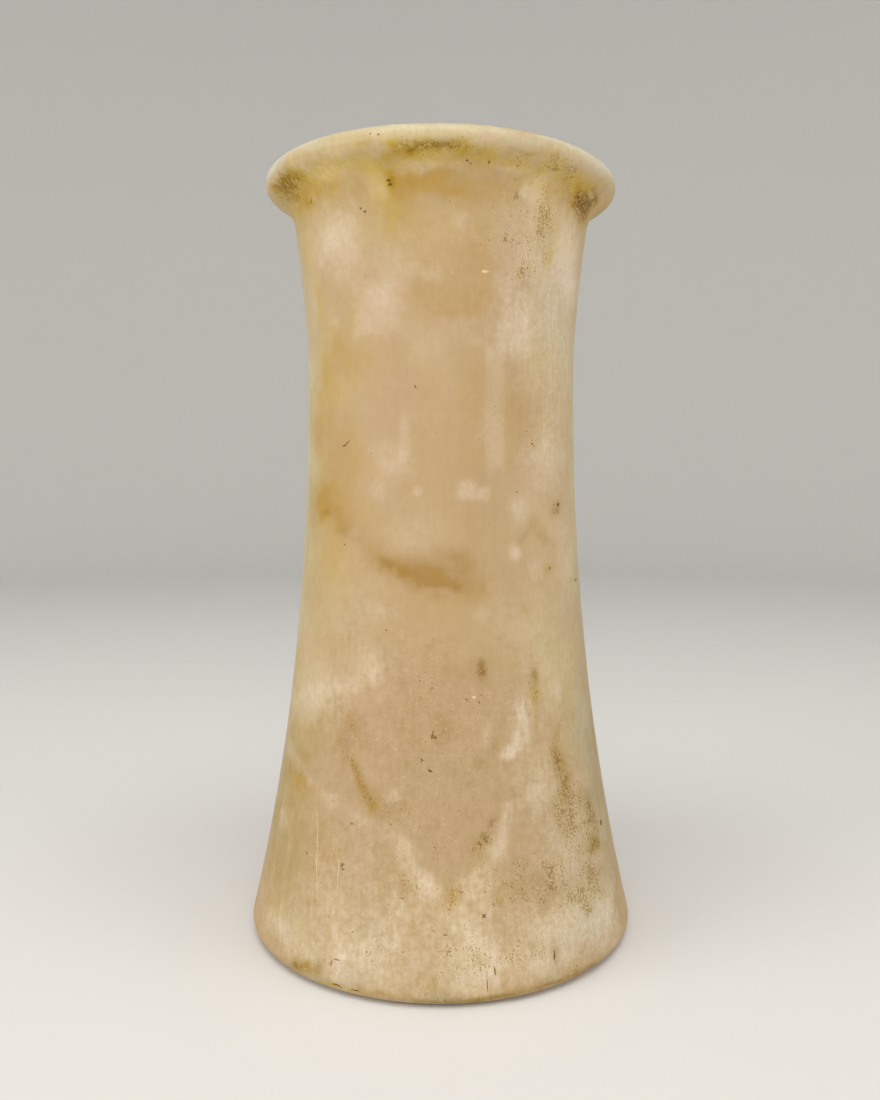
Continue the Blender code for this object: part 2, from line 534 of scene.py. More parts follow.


# Where each tone lies, painted light and shade among them. A blotch gives its angle, height, half sizes
# across and up, and strength. A trail gives its places, each an angle, a height and a half width, and its
# strength.
MARKS: dict[Tone, tuple[Union[Blotch, Trail], ...]] = {
    Tone.MILK: (
        Blotch(0.0, 0.2146, 0.0800, 0.0026, 0.36),
        # These two wide bands are painted light: they lift the rim's hollow and the neck, whose faces turn
        # down and get less light.
        Blotch(0.0, 0.2120, 0.0900, 0.0036, 0.72, edge=3.0),
        Blotch(0.0, 0.2000, 0.0900, 0.0080, 0.20, edge=3.0),
        # The patches from here to the one at -32 degrees are partly pale stone and partly a painted soft
        # highlight on the left of the neck.
        Blotch(-44.0, 0.1975, 0.0075, 0.0062, 0.48, edge=2.6),
        Blotch(-37.0, 0.1880, 0.0040, 0.0060, 0.30),
        Blotch(-47.0, 0.1760, 0.0035, 0.0040, 0.35),
        Blotch(-23.0, 0.2072, 0.0034, 0.0032, 0.60, edge=3.0),
        Blotch(-20.0, 0.1850, 0.0065, 0.0080, 0.24),
        Blotch(-25.5, 0.1770, 0.0072, 0.0070, 0.20, edge=6.0, ragged=0.5),
        Blotch(-24.0, 0.1785, 0.0060, 0.0055, 0.10),
        Blotch(-32.0, 0.1735, 0.0040, 0.0030, 0.16, edge=5.0, ragged=0.4),
        Blotch(7.0, 0.1980, 0.0022, 0.0020, 0.30),
        Blotch(-3.0, 0.1840, 0.0022, 0.0026, 0.18),
        Blotch(11.0, 0.2088, 0.0030, 0.0016, 0.25),
        Blotch(34.5, 0.2068, 0.0040, 0.0032, 0.75, edge=3.0),
        Blotch(32.0, 0.1990, 0.0070, 0.0080, 0.42),
        Blotch(60.0, 0.1930, 0.0060, 0.0090, 0.48, turn=-25.0, edge=2.5),
        Blotch(68.0, 0.1850, 0.0080, 0.0060, 0.35),
        Blotch(56.0, 0.1850, 0.0060, 0.0070, 0.30),
        Blotch(30.0, 0.1735, 0.0050, 0.0090, 0.36, edge=8.0, ragged=0.3),
        Blotch(25.0, 0.1830, 0.0040, 0.0050, 0.25),
        # Painted reflection: this pale upright streak stands for a lamp's reflection.
        Blotch(21.0, 0.1520, 0.0028, 0.0190, 0.17, edge=8.0, ragged=0.2),
        Blotch(45.0, 0.1700, 0.0130, 0.0150, 0.44),
        Blotch(52.0, 0.1420, 0.0080, 0.0085, 0.40),
        Blotch(-14.5, 0.1430, 0.0014, 0.0060, 0.25, edge=3.0),
        Blotch(-19.0, 0.1370, 0.0050, 0.0040, 0.25),
        Blotch(9.9, 0.1297, 0.0027, 0.0025, 0.50, edge=4.0, ragged=0.3),
        Blotch(16.2, 0.1289, 0.0017, 0.0017, 0.55, edge=4.0, ragged=0.3),
        Blotch(-8.6, 0.1295, 0.0012, 0.0011, 0.38, edge=4.0, ragged=0.4),
        Blotch(-24.0, 0.1300, 0.0028, 0.0022, 0.22),
        Blotch(31.0, 0.1246, 0.0031, 0.0036, 0.34, edge=3.0, ragged=0.4),
        Blotch(28.7, 0.1133, 0.0017, 0.0021, 0.62, edge=3.0, ragged=0.5),
        Blotch(38.5, 0.1087, 0.0026, 0.0026, 0.45, edge=3.0, ragged=0.5),
        Blotch(41.0, 0.1315, 0.0024, 0.0018, 0.22),
        Blotch(14.0, 0.0980, 0.0024, 0.0020, 0.20),
        Blotch(-22.0, 0.0975, 0.0050, 0.0020, 0.18),
        Blotch(-11.0, 0.1190, 0.0075, 0.0060, 0.22),
        Blotch(25.0, 0.0960, 0.0055, 0.0060, 0.20),
        Blotch(60.0, 0.1150, 0.0090, 0.0120, 0.28),
        Trail(((-74.0, 0.0690, 0.0030), (-60.0, 0.0718, 0.0036), (-45.0, 0.0745, 0.0034),
               (-33.0, 0.0785, 0.0026), (-22.0, 0.0825, 0.0014)), 0.34),
        Blotch(-28.0, 0.0838, 0.0048, 0.0042, 0.30, turn=20.0, edge=2.6),
        Blotch(28.6, 0.0690, 0.0030, 0.0058, 0.80, turn=-12.0, edge=3.0, ragged=0.5),
        Blotch(22.8, 0.0620, 0.0026, 0.0022, 0.65, turn=10.0, edge=2.8, ragged=0.6),
        Blotch(26.0, 0.0650, 0.0026, 0.0024, 0.34),
        Blotch(46.0, 0.0760, 0.0022, 0.0026, 0.50),
        Blotch(32.0, 0.0500, 0.0040, 0.0060, 0.38),
        Blotch(15.0, 0.0672, 0.0014, 0.0026, 0.35),
        Blotch(-14.5, 0.0505, 0.0030, 0.0020, 0.34),
        Trail(((-68.0, 0.0560, 0.0020), (-55.0, 0.0530, 0.0018), (-45.0, 0.0500, 0.0018),
               (-35.0, 0.0468, 0.0022)), 0.34),
        Blotch(-25.0, 0.0443, 0.0030, 0.0016, 0.42, turn=-20.0),
        Blotch(-36.5, 0.0478, 0.0018, 0.0012, 0.40),
        Blotch(-13.0, 0.0400, 0.0040, 0.0018, 0.28, turn=-25.0),
        Trail(((-12.0, 0.0380, 0.0022), (-8.0, 0.0330, 0.0024), (-4.0, 0.0275, 0.0034)), 0.58),
        Blotch(-4.5, 0.0290, 0.0024, 0.0040, 0.46, turn=15.0, edge=3.0),
        Trail(((21.5, 0.0480, 0.0014), (18.0, 0.0400, 0.0024), (15.6, 0.0330, 0.0030)), 0.54),
        Blotch(10.0, 0.0290, 0.0050, 0.0036, 0.60, turn=20.0, edge=3.0),
        Blotch(9.0, 0.0190, 0.0042, 0.0070, 0.60, edge=3.0),
        Blotch(-14.0, 0.0170, 0.0028, 0.0085, 0.40, turn=-8.0, edge=3.0),
        Blotch(-20.0, 0.0140, 0.0016, 0.0070, 0.16, turn=-4.0, edge=3.0),
        Blotch(-29.0, 0.0120, 0.0022, 0.0070, 0.30, turn=4.0, edge=3.0),
        Blotch(14.0, 0.0100, 0.0016, 0.0070, 0.40, edge=3.0),
        Blotch(-25.0, 0.0100, 0.0050, 0.0050, 0.38),
        Blotch(-50.0, 0.0090, 0.0110, 0.0036, 0.40, edge=2.6),
        Blotch(-63.0, 0.0360, 0.0035, 0.0040, 0.35),
        Trail(((-66.0, 0.0450, 0.0010), (-64.0, 0.0200, 0.0014)), 0.30),
        Trail(((-57.0, 0.0400, 0.0008), (-53.0, 0.0120, 0.0012)), 0.26),
        Blotch(35.0, 0.0150, 0.0085, 0.0050, 0.48),
        Blotch(55.0, 0.0120, 0.0070, 0.0044, 0.75, edge=2.6),
        Blotch(41.0, 0.0300, 0.0055, 0.0050, 0.35),
        Blotch(10.0, 0.0080, 0.0060, 0.0040, 0.35),
        Blotch(27.0, 0.0070, 0.0060, 0.0036, 0.35),
        Blotch(45.0, 0.2050, 0.0060, 0.0050, 0.30),
        Blotch(8.0, 0.0130, 0.0440, 0.0110, 0.30, edge=3.0),
        Blotch(-62.0, 0.1860, 0.0070, 0.0190, 0.26),
        Blotch(50.0, 0.1940, 0.0120, 0.0080, 0.26),
        Blotch(57.0, 0.2015, 0.0120, 0.0044, 0.26),
        Blotch(35.0, 0.1870, 0.0060, 0.0070, 0.22),
    ),
    Tone.HONEY: (
        Blotch(0.0, 0.0040, 0.0300, 0.0030, 0.55, edge=3.0),
        Blotch(3.5, 0.1930, 0.0118, 0.0140, 0.36, edge=9.0, ragged=0.15),
        Blotch(-6.0, 0.1905, 0.0036, 0.0042, 0.35, edge=3.0),
        Blotch(9.5, 0.1840, 0.0072, 0.0090, 0.46, edge=8.0, ragged=0.15),
        Blotch(16.5, 0.1930, 0.0026, 0.0090, 0.22, edge=5.0, ragged=0.4),
        Blotch(4.0, 0.1772, 0.0110, 0.0036, 0.85, edge=3.0),
        Blotch(3.0, 0.1500, 0.0130, 0.0220, 0.24, edge=3.0),
        Blotch(-27.0, 0.2030, 0.0032, 0.0100, 0.32, edge=8.0, ragged=0.2),
        Blotch(-13.0, 0.2050, 0.0020, 0.0028, 0.45),
        Blotch(5.0, 0.2050, 0.0120, 0.0050, 0.10),
        Blotch(-4.5, 0.1640, 0.0030, 0.0120, 0.16),
        Blotch(12.0, 0.1500, 0.0036, 0.0180, 0.18, edge=10.0, ragged=0.15),
        Blotch(-34.0, 0.1600, 0.0045, 0.0060, 0.35),
        Blotch(-24.0, 0.1640, 0.0070, 0.0045, 0.22),
        Blotch(30.0, 0.1520, 0.0038, 0.0060, 0.28, edge=3.0),
        Blotch(28.0, 0.1470, 0.0012, 0.0130, 0.36, edge=3.0),
        Blotch(31.5, 0.1490, 0.0009, 0.0100, 0.32, edge=3.0),
        Blotch(28.0, 0.1430, 0.0026, 0.0070, 0.35),
        Blotch(-40.0, 0.1370, 0.0080, 0.0035, 0.35),
        Blotch(10.0, 0.1230, 0.0080, 0.0050, 0.20),
        Blotch(-38.0, 0.1260, 0.0070, 0.0060, 0.30),
        Blotch(9.0, 0.1030, 0.0055, 0.0028, 0.28),
        Blotch(-5.0, 0.1010, 0.0120, 0.0040, 0.20),
        Blotch(40.0, 0.1170, 0.0060, 0.0040, 0.30),
        Blotch(-37.0, 0.0300, 0.0050, 0.0100, 0.25),
        Blotch(-6.0, 0.0150, 0.0050, 0.0060, 0.25),
        Blotch(-6.0, 0.2065, 0.0110, 0.0034, 0.42, edge=3.0),
        Blotch(-5.0, 0.1860, 0.0090, 0.0060, 0.22),
        Blotch(-4.0, 0.1200, 0.0100, 0.0060, 0.22),
    ),
    Tone.OCHRE: (
        Blotch(-48.0, 0.1650, 0.0095, 0.0120, 0.42, edge=2.6),
        Blotch(-54.0, 0.1540, 0.0070, 0.0140, 0.36),
        Blotch(-35.0, 0.1620, 0.0036, 0.0050, 0.35),
        Trail(((-32.0, 0.1815, 0.0014), (-37.0, 0.1745, 0.0014), (-42.0, 0.1690, 0.0022)), 0.55),
        Blotch(-57.0, 0.1800, 0.0035, 0.0060, 0.45),
        Blotch(-64.0, 0.1950, 0.0060, 0.0110, 0.45),
        Blotch(-58.0, 0.1430, 0.0040, 0.0080, 0.40),
        Blotch(-49.0, 0.1480, 0.0020, 0.0030, 0.35),
        Blotch(-66.0, 0.2070, 0.0130, 0.0056, 0.90),
        Blotch(-42.0, 0.2105, 0.0120, 0.0040, 0.50),
        Blotch(-30.0, 0.2150, 0.0200, 0.0020, 0.30),
        Blotch(-52.0, 0.1275, 0.0070, 0.0070, 0.60, edge=2.6),
        Blotch(-50.0, 0.1100, 0.0100, 0.0160, 0.35),
        Blotch(-38.0, 0.1270, 0.0080, 0.0080, 0.35),
        Blotch(-38.0, 0.1440, 0.0060, 0.0090, 0.45),
        Blotch(-71.0, 0.0800, 0.0045, 0.0060, 0.50),
        Blotch(-56.0, 0.0600, 0.0090, 0.0060, 0.42, edge=3.0),
        Blotch(-60.0, 0.0480, 0.0080, 0.0030, 0.35),
        Blotch(-60.0, 0.0180, 0.0090, 0.0080, 0.34),
        Blotch(-58.0, 0.0330, 0.0110, 0.0150, 0.44),
        Blotch(-42.0, 0.0120, 0.0030, 0.0060, 0.25),
        Blotch(3.0, 0.0265, 0.0016, 0.0028, 0.36, turn=-10.0, edge=2.6),
        Blotch(16.3, 0.0255, 0.0009, 0.0022, 0.55),
        Blotch(-13.0, 0.0080, 0.0012, 0.0022, 0.35),
        Blotch(46.0, 0.1660, 0.0070, 0.0120, 0.24),
        Blotch(-19.0, 0.2005, 0.0040, 0.0070, 0.80),
        Blotch(3.0, 0.2030, 0.0190, 0.0070, 0.22, edge=3.0),
        Blotch(0.0, 0.2104, 0.0900, 0.0050, 0.36, edge=3.0),
        Blotch(0.0, 0.2005, 0.0900, 0.0080, 0.20, edge=3.0),
        Blotch(-50.0, 0.0485, 0.0100, 0.0024, 0.55),
        Blotch(0.0, 0.2124, 0.0640, 0.0032, 0.60, edge=3.0, ragged=0.4),
        Blotch(58.0, 0.2080, 0.0200, 0.0060, 0.42),
        Blotch(-69.0, 0.0480, 0.0100, 0.0200, 0.25),
        Blotch(-39.0, 0.0640, 0.0050, 0.0040, 0.25),
        Blotch(-10.0, 0.2068, 0.0280, 0.0030, 0.16, edge=3.0),
        Blotch(-6.0, 0.2064, 0.0090, 0.0026, 0.42, edge=3.0),
    ),
    Tone.TAN: (
        Blotch(8.0, 0.1785, 0.0085, 0.0050, 0.22, edge=3.0),
        Blotch(-6.0, 0.1810, 0.0060, 0.0080, 0.14),
        Blotch(32.0, 0.1540, 0.0050, 0.0070, 0.12),
        Blotch(46.0, 0.1640, 0.0044, 0.0060, 0.14),
        Blotch(-47.0, 0.1400, 0.0030, 0.0024, 0.16),
        Blotch(3.0, 0.0265, 0.0014, 0.0026, 0.30, turn=-10.0, edge=2.6),
        Blotch(-52.5, 0.1275, 0.0044, 0.0050, 0.26, edge=3.0),
        Blotch(-52.0, 0.1232, 0.0034, 0.0012, 0.38, turn=6.0, edge=3.0),
        Trail(((-46.0, 0.1225, 0.0034), (-36.0, 0.1185, 0.0034), (-27.0, 0.1138, 0.0034),
               (-18.0, 0.1098, 0.0030), (-9.0, 0.1083, 0.0042), (3.0, 0.1078, 0.0042),
               (12.0, 0.1045, 0.0028)), 0.54),
        Trail(((-22.0, 0.1110, 0.0018), (-16.0, 0.1088, 0.0028), (-9.0, 0.1079, 0.0034),
               (-3.0, 0.1074, 0.0028), (3.0, 0.1062, 0.0014)), 0.92),
        Trail(((-20.0, 0.1108, 0.0007), (-12.0, 0.1084, 0.0007), (-4.0, 0.1083, 0.0006)), 0.30),
        Trail(((-13.0, 0.1060, 0.0006), (-6.0, 0.1053, 0.0007), (2.0, 0.1058, 0.0006),
               (7.0, 0.1052, 0.0005)), 0.36),
        Trail(((-9.0, 0.1092, 0.0005), (0.0, 0.1096, 0.0007), (8.0, 0.1088, 0.0006)), 0.26),
        Trail(((-15.0, 0.1074, 0.0008), (-8.0, 0.1066, 0.0009), (0.0, 0.1067, 0.0007)), 0.45),
        Trail(((-16.0, 0.1074, 0.0012), (-10.0, 0.1040, 0.0008)), 0.45),
        Trail(((-6.0, 0.1066, 0.0012), (4.0, 0.1044, 0.0008)), 0.42),
        Blotch(5.0, 0.1128, 0.0030, 0.0018, 0.40, turn=-12.0),
        Blotch(1.0, 0.1110, 0.0075, 0.0044, 0.22),
        Blotch(10.0, 0.1105, 0.0030, 0.0020, 0.22, turn=-30.0),
        Trail(((31.0, 0.1160, 0.0012), (38.0, 0.1215, 0.0016), (44.0, 0.1165, 0.0022),
               (50.0, 0.1150, 0.0016)), 0.42),
        Blotch(52.0, 0.1245, 0.0028, 0.0024, 0.40),
        Blotch(6.0, 0.0830, 0.0050, 0.0022, 0.30),
        Blotch(-1.0, 0.0700, 0.0030, 0.0026, 0.26),
        Blotch(-11.0, 0.0600, 0.0030, 0.0040, 0.20),
        Blotch(12.0, 0.0590, 0.0044, 0.0030, 0.18),
        Blotch(-31.0, 0.0670, 0.0030, 0.0030, 0.26),
        Blotch(1.0, 0.0675, 0.0022, 0.0040, 0.34, turn=-10.0),
        Blotch(33.5, 0.0680, 0.0018, 0.0054, 0.42),
        Blotch(17.5, 0.0640, 0.0016, 0.0022, 0.45),
        Blotch(-34.0, 0.0600, 0.0022, 0.0060, 0.32),
        Blotch(-1.5, 0.0062, 0.0016, 0.0034, 0.30),
        Blotch(-10.0, 0.0110, 0.0030, 0.0050, 0.20),
    ),
    Tone.OLIVE: (
        Blotch(-65.0, 0.2110, 0.0120, 0.0050, 1.00, edge=3.0),
        Blotch(-53.0, 0.2122, 0.0060, 0.0030, 0.46),
        Trail(((-24.0, 0.2146, 0.0008), (-19.0, 0.2147, 0.0008), (-12.0, 0.2142, 0.0012)), 0.55),
        Trail(((-20.0, 0.2114, 0.0024), (-12.0, 0.2125, 0.0025), (-4.0, 0.2132, 0.0026),
               (7.0, 0.2136, 0.0024)), 0.66),
        Blotch(4.0, 0.2140, 0.0028, 0.0014, 0.22, edge=3.0),
        Blotch(-15.5, 0.2095, 0.0034, 0.0044, 0.30),
        Blotch(-17.0, 0.2070, 0.0016, 0.0028, 0.60),
        Blotch(-27.0, 0.2115, 0.0060, 0.0032, 0.20),
        Trail(((7.0, 0.2122, 0.0024), (18.0, 0.2125, 0.0024), (30.0, 0.2132, 0.0024),
               (42.0, 0.2124, 0.0026)), 0.58),
        Trail(((44.0, 0.2110, 0.0018), (52.0, 0.2112, 0.0024), (62.0, 0.2114, 0.0044),
               (76.0, 0.2110, 0.0050)), 0.64),
        Blotch(62.0, 0.2075, 0.0055, 0.0032, 0.20),
        Blotch(72.0, 0.2075, 0.0050, 0.0034, 0.12),
        Blotch(-55.0, 0.2068, 0.0016, 0.0018, 0.90, turn=-30.0),
        Blotch(45.5, 0.1930, 0.0018, 0.0070, 0.40, turn=-10.0),
        Blotch(45.0, 0.1083, 0.0020, 0.0012, 0.50),
        Trail(((60.0, 0.1046, 0.0007), (70.0, 0.1038, 0.0007)), 0.45),
        Blotch(67.0, 0.1338, 0.0020, 0.0012, 0.45),
        Trail(((35.0, 0.0810, 0.0010), (34.5, 0.0745, 0.0016)), 0.45),
        Trail(((-33.0, 0.0700, 0.0009), (-29.0, 0.0655, 0.0008)), 0.60),
        Trail(((-29.5, 0.0580, 0.0012), (-27.0, 0.0545, 0.0012), (-23.5, 0.0505, 0.0018),
               (-21.0, 0.0475, 0.0019)), 0.60),
        Blotch(-40.0, 0.0400, 0.0022, 0.0018, 0.30),
        Blotch(57.0, 0.0308, 0.0036, 0.0024, 0.60),
        Blotch(-40.0, 0.0042, 0.0046, 0.0018, 0.90, turn=6.0, edge=3.0),
        Trail(((-32.0, 0.0022, 0.0009), (-22.0, 0.0020, 0.0008), (-14.0, 0.0027, 0.0009)), 0.80),
        Trail(((8.0, 0.0018, 0.0012), (20.0, 0.0022, 0.0014), (34.0, 0.0024, 0.0014),
               (46.0, 0.0020, 0.0014)), 0.42),
        Blotch(43.5, 0.0540, 0.0030, 0.0095, 0.30),
    ),
    Tone.UMBER: (
        Trail(((-29.0, 0.0575, 0.0010), (-26.5, 0.0540, 0.0010), (-22.0, 0.0485, 0.0014)), 0.34),
        Trail(((41.2, 0.0600, 0.0014), (42.0, 0.0550, 0.0020), (45.0, 0.0490, 0.0026)), 0.30),
        Blotch(35.0, 0.0800, 0.0012, 0.0020, 0.34),
        Trail(((-6.0, 0.0018, 0.0009), (14.0, 0.0016, 0.0010), (30.0, 0.0020, 0.0012),
               (46.0, 0.0020, 0.0010)), 0.50),
        Trail(((-17.0, 0.2118, 0.0016), (-9.0, 0.2130, 0.0020), (-4.0, 0.2134, 0.0020),
               (6.0, 0.2140, 0.0018)), 0.26),
        Trail(((-72.0, 0.2132, 0.0006), (-65.0, 0.2126, 0.0009), (-59.0, 0.2118, 0.0006)), 0.62),
        Trail(((-66.0, 0.2118, 0.0007), (-61.0, 0.2108, 0.0008), (-57.0, 0.2110, 0.0005)), 0.50),
        Trail(((-61.0, 0.2132, 0.0007), (-54.0, 0.2124, 0.0008), (-50.0, 0.2116, 0.0005)), 0.44),
        Trail(((-74.0, 0.2105, 0.0006), (-68.0, 0.2098, 0.0008), (-62.0, 0.2092, 0.0005)), 0.34),
        Trail(((56.0, 0.2098, 0.0006), (60.0, 0.2088, 0.0009), (64.0, 0.2078, 0.0006)), 0.85),
        Trail(((60.0, 0.2108, 0.0006), (66.0, 0.2100, 0.0008), (72.0, 0.2092, 0.0006)), 0.85),
        Trail(((64.0, 0.2090, 0.0006), (69.0, 0.2078, 0.0008), (74.0, 0.2070, 0.0006)), 0.75),
        Trail(((62.0, 0.2120, 0.0006), (70.0, 0.2116, 0.0007), (77.0, 0.2108, 0.0006)), 0.80),
        Trail(((-9.0, 0.2126, 0.0006), (-3.0, 0.2136, 0.0008), (5.0, 0.2140, 0.0006)), 0.50),
        Blotch(58.0, 0.0400, 0.0020, 0.0050, 0.30),
        Blotch(56.5, 0.0308, 0.0030, 0.0018, 0.36),
        Blotch(-17.5, 0.2072, 0.0010, 0.0012, 0.45),
        Blotch(14.3, 0.0838, 0.0010, 0.0023, 0.75, edge=3.0),
        Blotch(14.3, 0.0838, 0.0022, 0.0036, 0.30),
        Blotch(35.1, 0.0808, 0.0009, 0.0008, 0.45),
        Blotch(16.3, 0.0445, 0.0012, 0.0014, 0.35, turn=-30.0),
        Blotch(13.0, 0.0413, 0.0009, 0.0012, 0.35, turn=-30.0),
        Blotch(40.0, 0.0020, 0.0100, 0.0010, 0.30),
        Blotch(12.0, 0.0016, 0.0060, 0.0009, 0.35),
        Blotch(-40.0, 0.0044, 0.0050, 0.0016, 0.70),
        Blotch(-34.5, 0.0056, 0.0014, 0.0018, 0.50),
        Blotch(-43.0, 0.0036, 0.0014, 0.0008, 0.70),
        Blotch(32.5, 0.0092, 0.0013, 0.0032, 0.45, turn=-8.0),
        Blotch(53.8, 0.1250, 0.0008, 0.0018, 0.30),
        Trail(((20.0, 0.2140, 0.0005), (25.0, 0.2134, 0.0007), (31.0, 0.2138, 0.0005)), 0.30),
        Trail(((42.0, 0.2122, 0.0006), (48.0, 0.2104, 0.0009), (53.0, 0.2090, 0.0006)), 0.40),
    ),
    Tone.ROSE: (
        Blotch(-4.0, 0.0600, 0.0230, 0.0180, 0.62, edge=4.0),
        Blotch(-31.0, 0.0570, 0.0120, 0.0120, 0.45, turn=-20.0, edge=3.0),
        Blotch(8.0, 0.0810, 0.0150, 0.0070, 0.50),
        Blotch(26.0, 0.0740, 0.0080, 0.0090, 0.38),
        Blotch(-18.0, 0.0740, 0.0110, 0.0060, 0.45, turn=12.0, edge=3.0),
        Blotch(1.5, 0.0385, 0.0060, 0.0062, 0.70, edge=3.0),
        Blotch(-26.0, 0.0350, 0.0140, 0.0110, 0.62),
        Blotch(-2.0, 0.0460, 0.0160, 0.0060, 0.50),
        Blotch(28.0, 0.0340, 0.0095, 0.0110, 0.50, edge=3.0),
        Blotch(45.0, 0.0240, 0.0100, 0.0070, 0.35),
        Blotch(66.0, 0.0120, 0.0060, 0.0040, 0.60),
        Blotch(68.0, 0.1560, 0.0030, 0.0120, 0.35),
        Blotch(61.0, 0.0960, 0.0090, 0.0080, 0.70),
        Blotch(68.0, 0.0850, 0.0070, 0.0140, 0.40),
        # This patch is painted shade on the right edge, laid with the painted shade there.
        Blotch(70.0, 0.0420, 0.0090, 0.0260, 0.85, edge=3.0),
    ),
    Tone.SAGE: (
        # On the rim's roll sage is partly a painted sheen; near the side edges, from 58 degrees out, it
        # paints the edges' greenish sheen and shading.
        Blotch(0.0, 0.2172, 0.0700, 0.0030, 0.85),
        Blotch(76.0, 0.1500, 0.0080, 0.0500, 0.75),
        Blotch(-77.0, 0.1500, 0.0075, 0.0500, 0.75),
        Blotch(-66.0, 0.1550, 0.0030, 0.0160, 0.35),
        Blotch(-64.0, 0.1370, 0.0032, 0.0050, 0.60),
        Blotch(-64.0, 0.1130, 0.0036, 0.0060, 0.50),
        Blotch(58.0, 0.1640, 0.0100, 0.0150, 0.30),
        Blotch(45.0, 0.1700, 0.0060, 0.0110, 0.12),
        Blotch(64.0, 0.1100, 0.0100, 0.0250, 0.50),
        Blotch(60.0, 0.0700, 0.0110, 0.0160, 0.50),
        Blotch(-70.0, 0.0900, 0.0080, 0.0400, 0.45),
        Blotch(32.0, 0.0500, 0.0050, 0.0090, 0.35),
        Blotch(46.0, 0.0850, 0.0090, 0.0120, 0.35),
        Blotch(-58.0, 0.0730, 0.0140, 0.0060, 0.40),
        Blotch(-18.0, 0.0160, 0.0060, 0.0100, 0.25),
        Blotch(38.0, 0.0140, 0.0120, 0.0060, 0.30),
    ),
    # Painted shade: it darkens both side edges, the middle of the front and the foot's lower edge, where
    # less light falls.
    Tone.DUSK: (
        Blotch(0.0, 0.1050, 0.0280, 0.0750, 0.16, edge=3.0),
        Blotch(-8.0, 0.0420, 0.0340, 0.0260, 0.24, edge=3.0),
        Blotch(-50.0, 0.0330, 0.0080, 0.0120, 0.22),
        Blotch(-70.0, 0.0440, 0.0110, 0.0180, 0.66, edge=3.0),
        Blotch(-60.0, 0.0240, 0.0110, 0.0100, 0.45),
        Blotch(-54.0, 0.0580, 0.0110, 0.0090, 0.32),
        Blotch(-66.0, 0.1250, 0.0060, 0.0080, 0.35),
        Blotch(70.0, 0.0400, 0.0100, 0.0300, 0.75, edge=3.0),
        Blotch(60.0, 0.0620, 0.0110, 0.0160, 0.34),
        Blotch(70.0, 0.0950, 0.0070, 0.0180, 0.35),
        Blotch(0.0, 0.0030, 0.0600, 0.0024, 0.30, edge=3.0),
        Blotch(-19.0, 0.0160, 0.0048, 0.0110, 0.34, edge=3.0),
        Blotch(-31.0, 0.0295, 0.0044, 0.0060, 0.34),
        Blotch(0.0, 0.0042, 0.0050, 0.0022, 0.50),
        Blotch(30.0, 0.0042, 0.0050, 0.0022, 0.45),
    ),
    Tone.PITS: (
        Blotch(41.5, 0.2010, 0.0034, 0.0085, 0.62),
        Blotch(38.0, 0.2125, 0.0080, 0.0034, 0.60),
        Blotch(46.0, 0.2115, 0.0022, 0.0016, 0.55),
        Blotch(33.0, 0.1840, 0.0046, 0.0040, 0.62),
        Blotch(31.0, 0.1960, 0.0090, 0.0120, 0.52),
        Blotch(40.0, 0.1700, 0.0080, 0.0120, 0.20),
        Blotch(58.0, 0.1720, 0.0060, 0.0080, 0.30),
        Blotch(64.0, 0.2110, 0.0110, 0.0040, 0.50),
        Blotch(-63.0, 0.2118, 0.0100, 0.0038, 0.36),
        Blotch(-3.0, 0.2130, 0.0150, 0.0028, 0.20),
        Blotch(28.0, 0.1430, 0.0040, 0.0100, 0.18),
        Blotch(38.0, 0.1450, 0.0070, 0.0090, 0.28),
        Blotch(52.5, 0.1245, 0.0030, 0.0024, 0.95),
        Blotch(45.0, 0.1085, 0.0022, 0.0014, 0.80),
        Blotch(8.0, 0.0780, 0.0180, 0.0110, 0.16),
        Blotch(34.5, 0.0760, 0.0024, 0.0060, 0.65),
        Blotch(-4.0, 0.0650, 0.0220, 0.0150, 0.22),
        Blotch(-32.0, 0.0630, 0.0050, 0.0090, 0.34),
        Trail(((-30.0, 0.0590, 0.0014), (-27.0, 0.0545, 0.0014), (-22.0, 0.0490, 0.0018)), 0.36),
        Blotch(-40.0, 0.0405, 0.0020, 0.0016, 0.50),
        Trail(((41.0, 0.0620, 0.0014), (41.6, 0.0565, 0.0020), (43.5, 0.0520, 0.0028),
               (45.0, 0.0460, 0.0032)), 0.90),
        Blotch(42.0, 0.0410, 0.0034, 0.0050, 0.85),
        Trail(((52.0, 0.0460, 0.0020), (57.0, 0.0430, 0.0026), (59.0, 0.0380, 0.0026),
               (58.0, 0.0310, 0.0030)), 1.00),
        Blotch(56.5, 0.0310, 0.0040, 0.0024, 0.60),
        Blotch(50.0, 0.0400, 0.0080, 0.0100, 0.40),
        Blotch(26.0, 0.0235, 0.0080, 0.0062, 0.50),
        Blotch(51.0, 0.0215, 0.0070, 0.0068, 0.85),
        Blotch(38.0, 0.0250, 0.0110, 0.0070, 0.24),
        Blotch(20.0, 0.0110, 0.0120, 0.0080, 0.14),
        Blotch(14.0, 0.2120, 0.0240, 0.0030, 0.24),
        Blotch(9.0, 0.0205, 0.0030, 0.0026, 0.42),
        Trail(((17.0, 0.0455, 0.0018), (13.0, 0.0413, 0.0018), (9.5, 0.0375, 0.0014)), 0.95),
        Blotch(-8.0, 0.0290, 0.0026, 0.0030, 0.30),
        Blotch(14.0, 0.0230, 0.0500, 0.0220, 0.40, edge=3.0),
        Blotch(66.0, 0.0130, 0.0040, 0.0040, 0.40),
        Blotch(-40.0, 0.0042, 0.0040, 0.0014, 0.45),
        Blotch(38.0, 0.0040, 0.0050, 0.0020, 0.50),
    ),
    Tone.CRUST: (
        Blotch(-64.0, 0.2118, 0.0120, 0.0034, 0.95, edge=3.0),
        Blotch(-3.0, 0.2134, 0.0100, 0.0020, 0.62, edge=3.0),
        Blotch(43.0, 0.0540, 0.0022, 0.0080, 0.55),
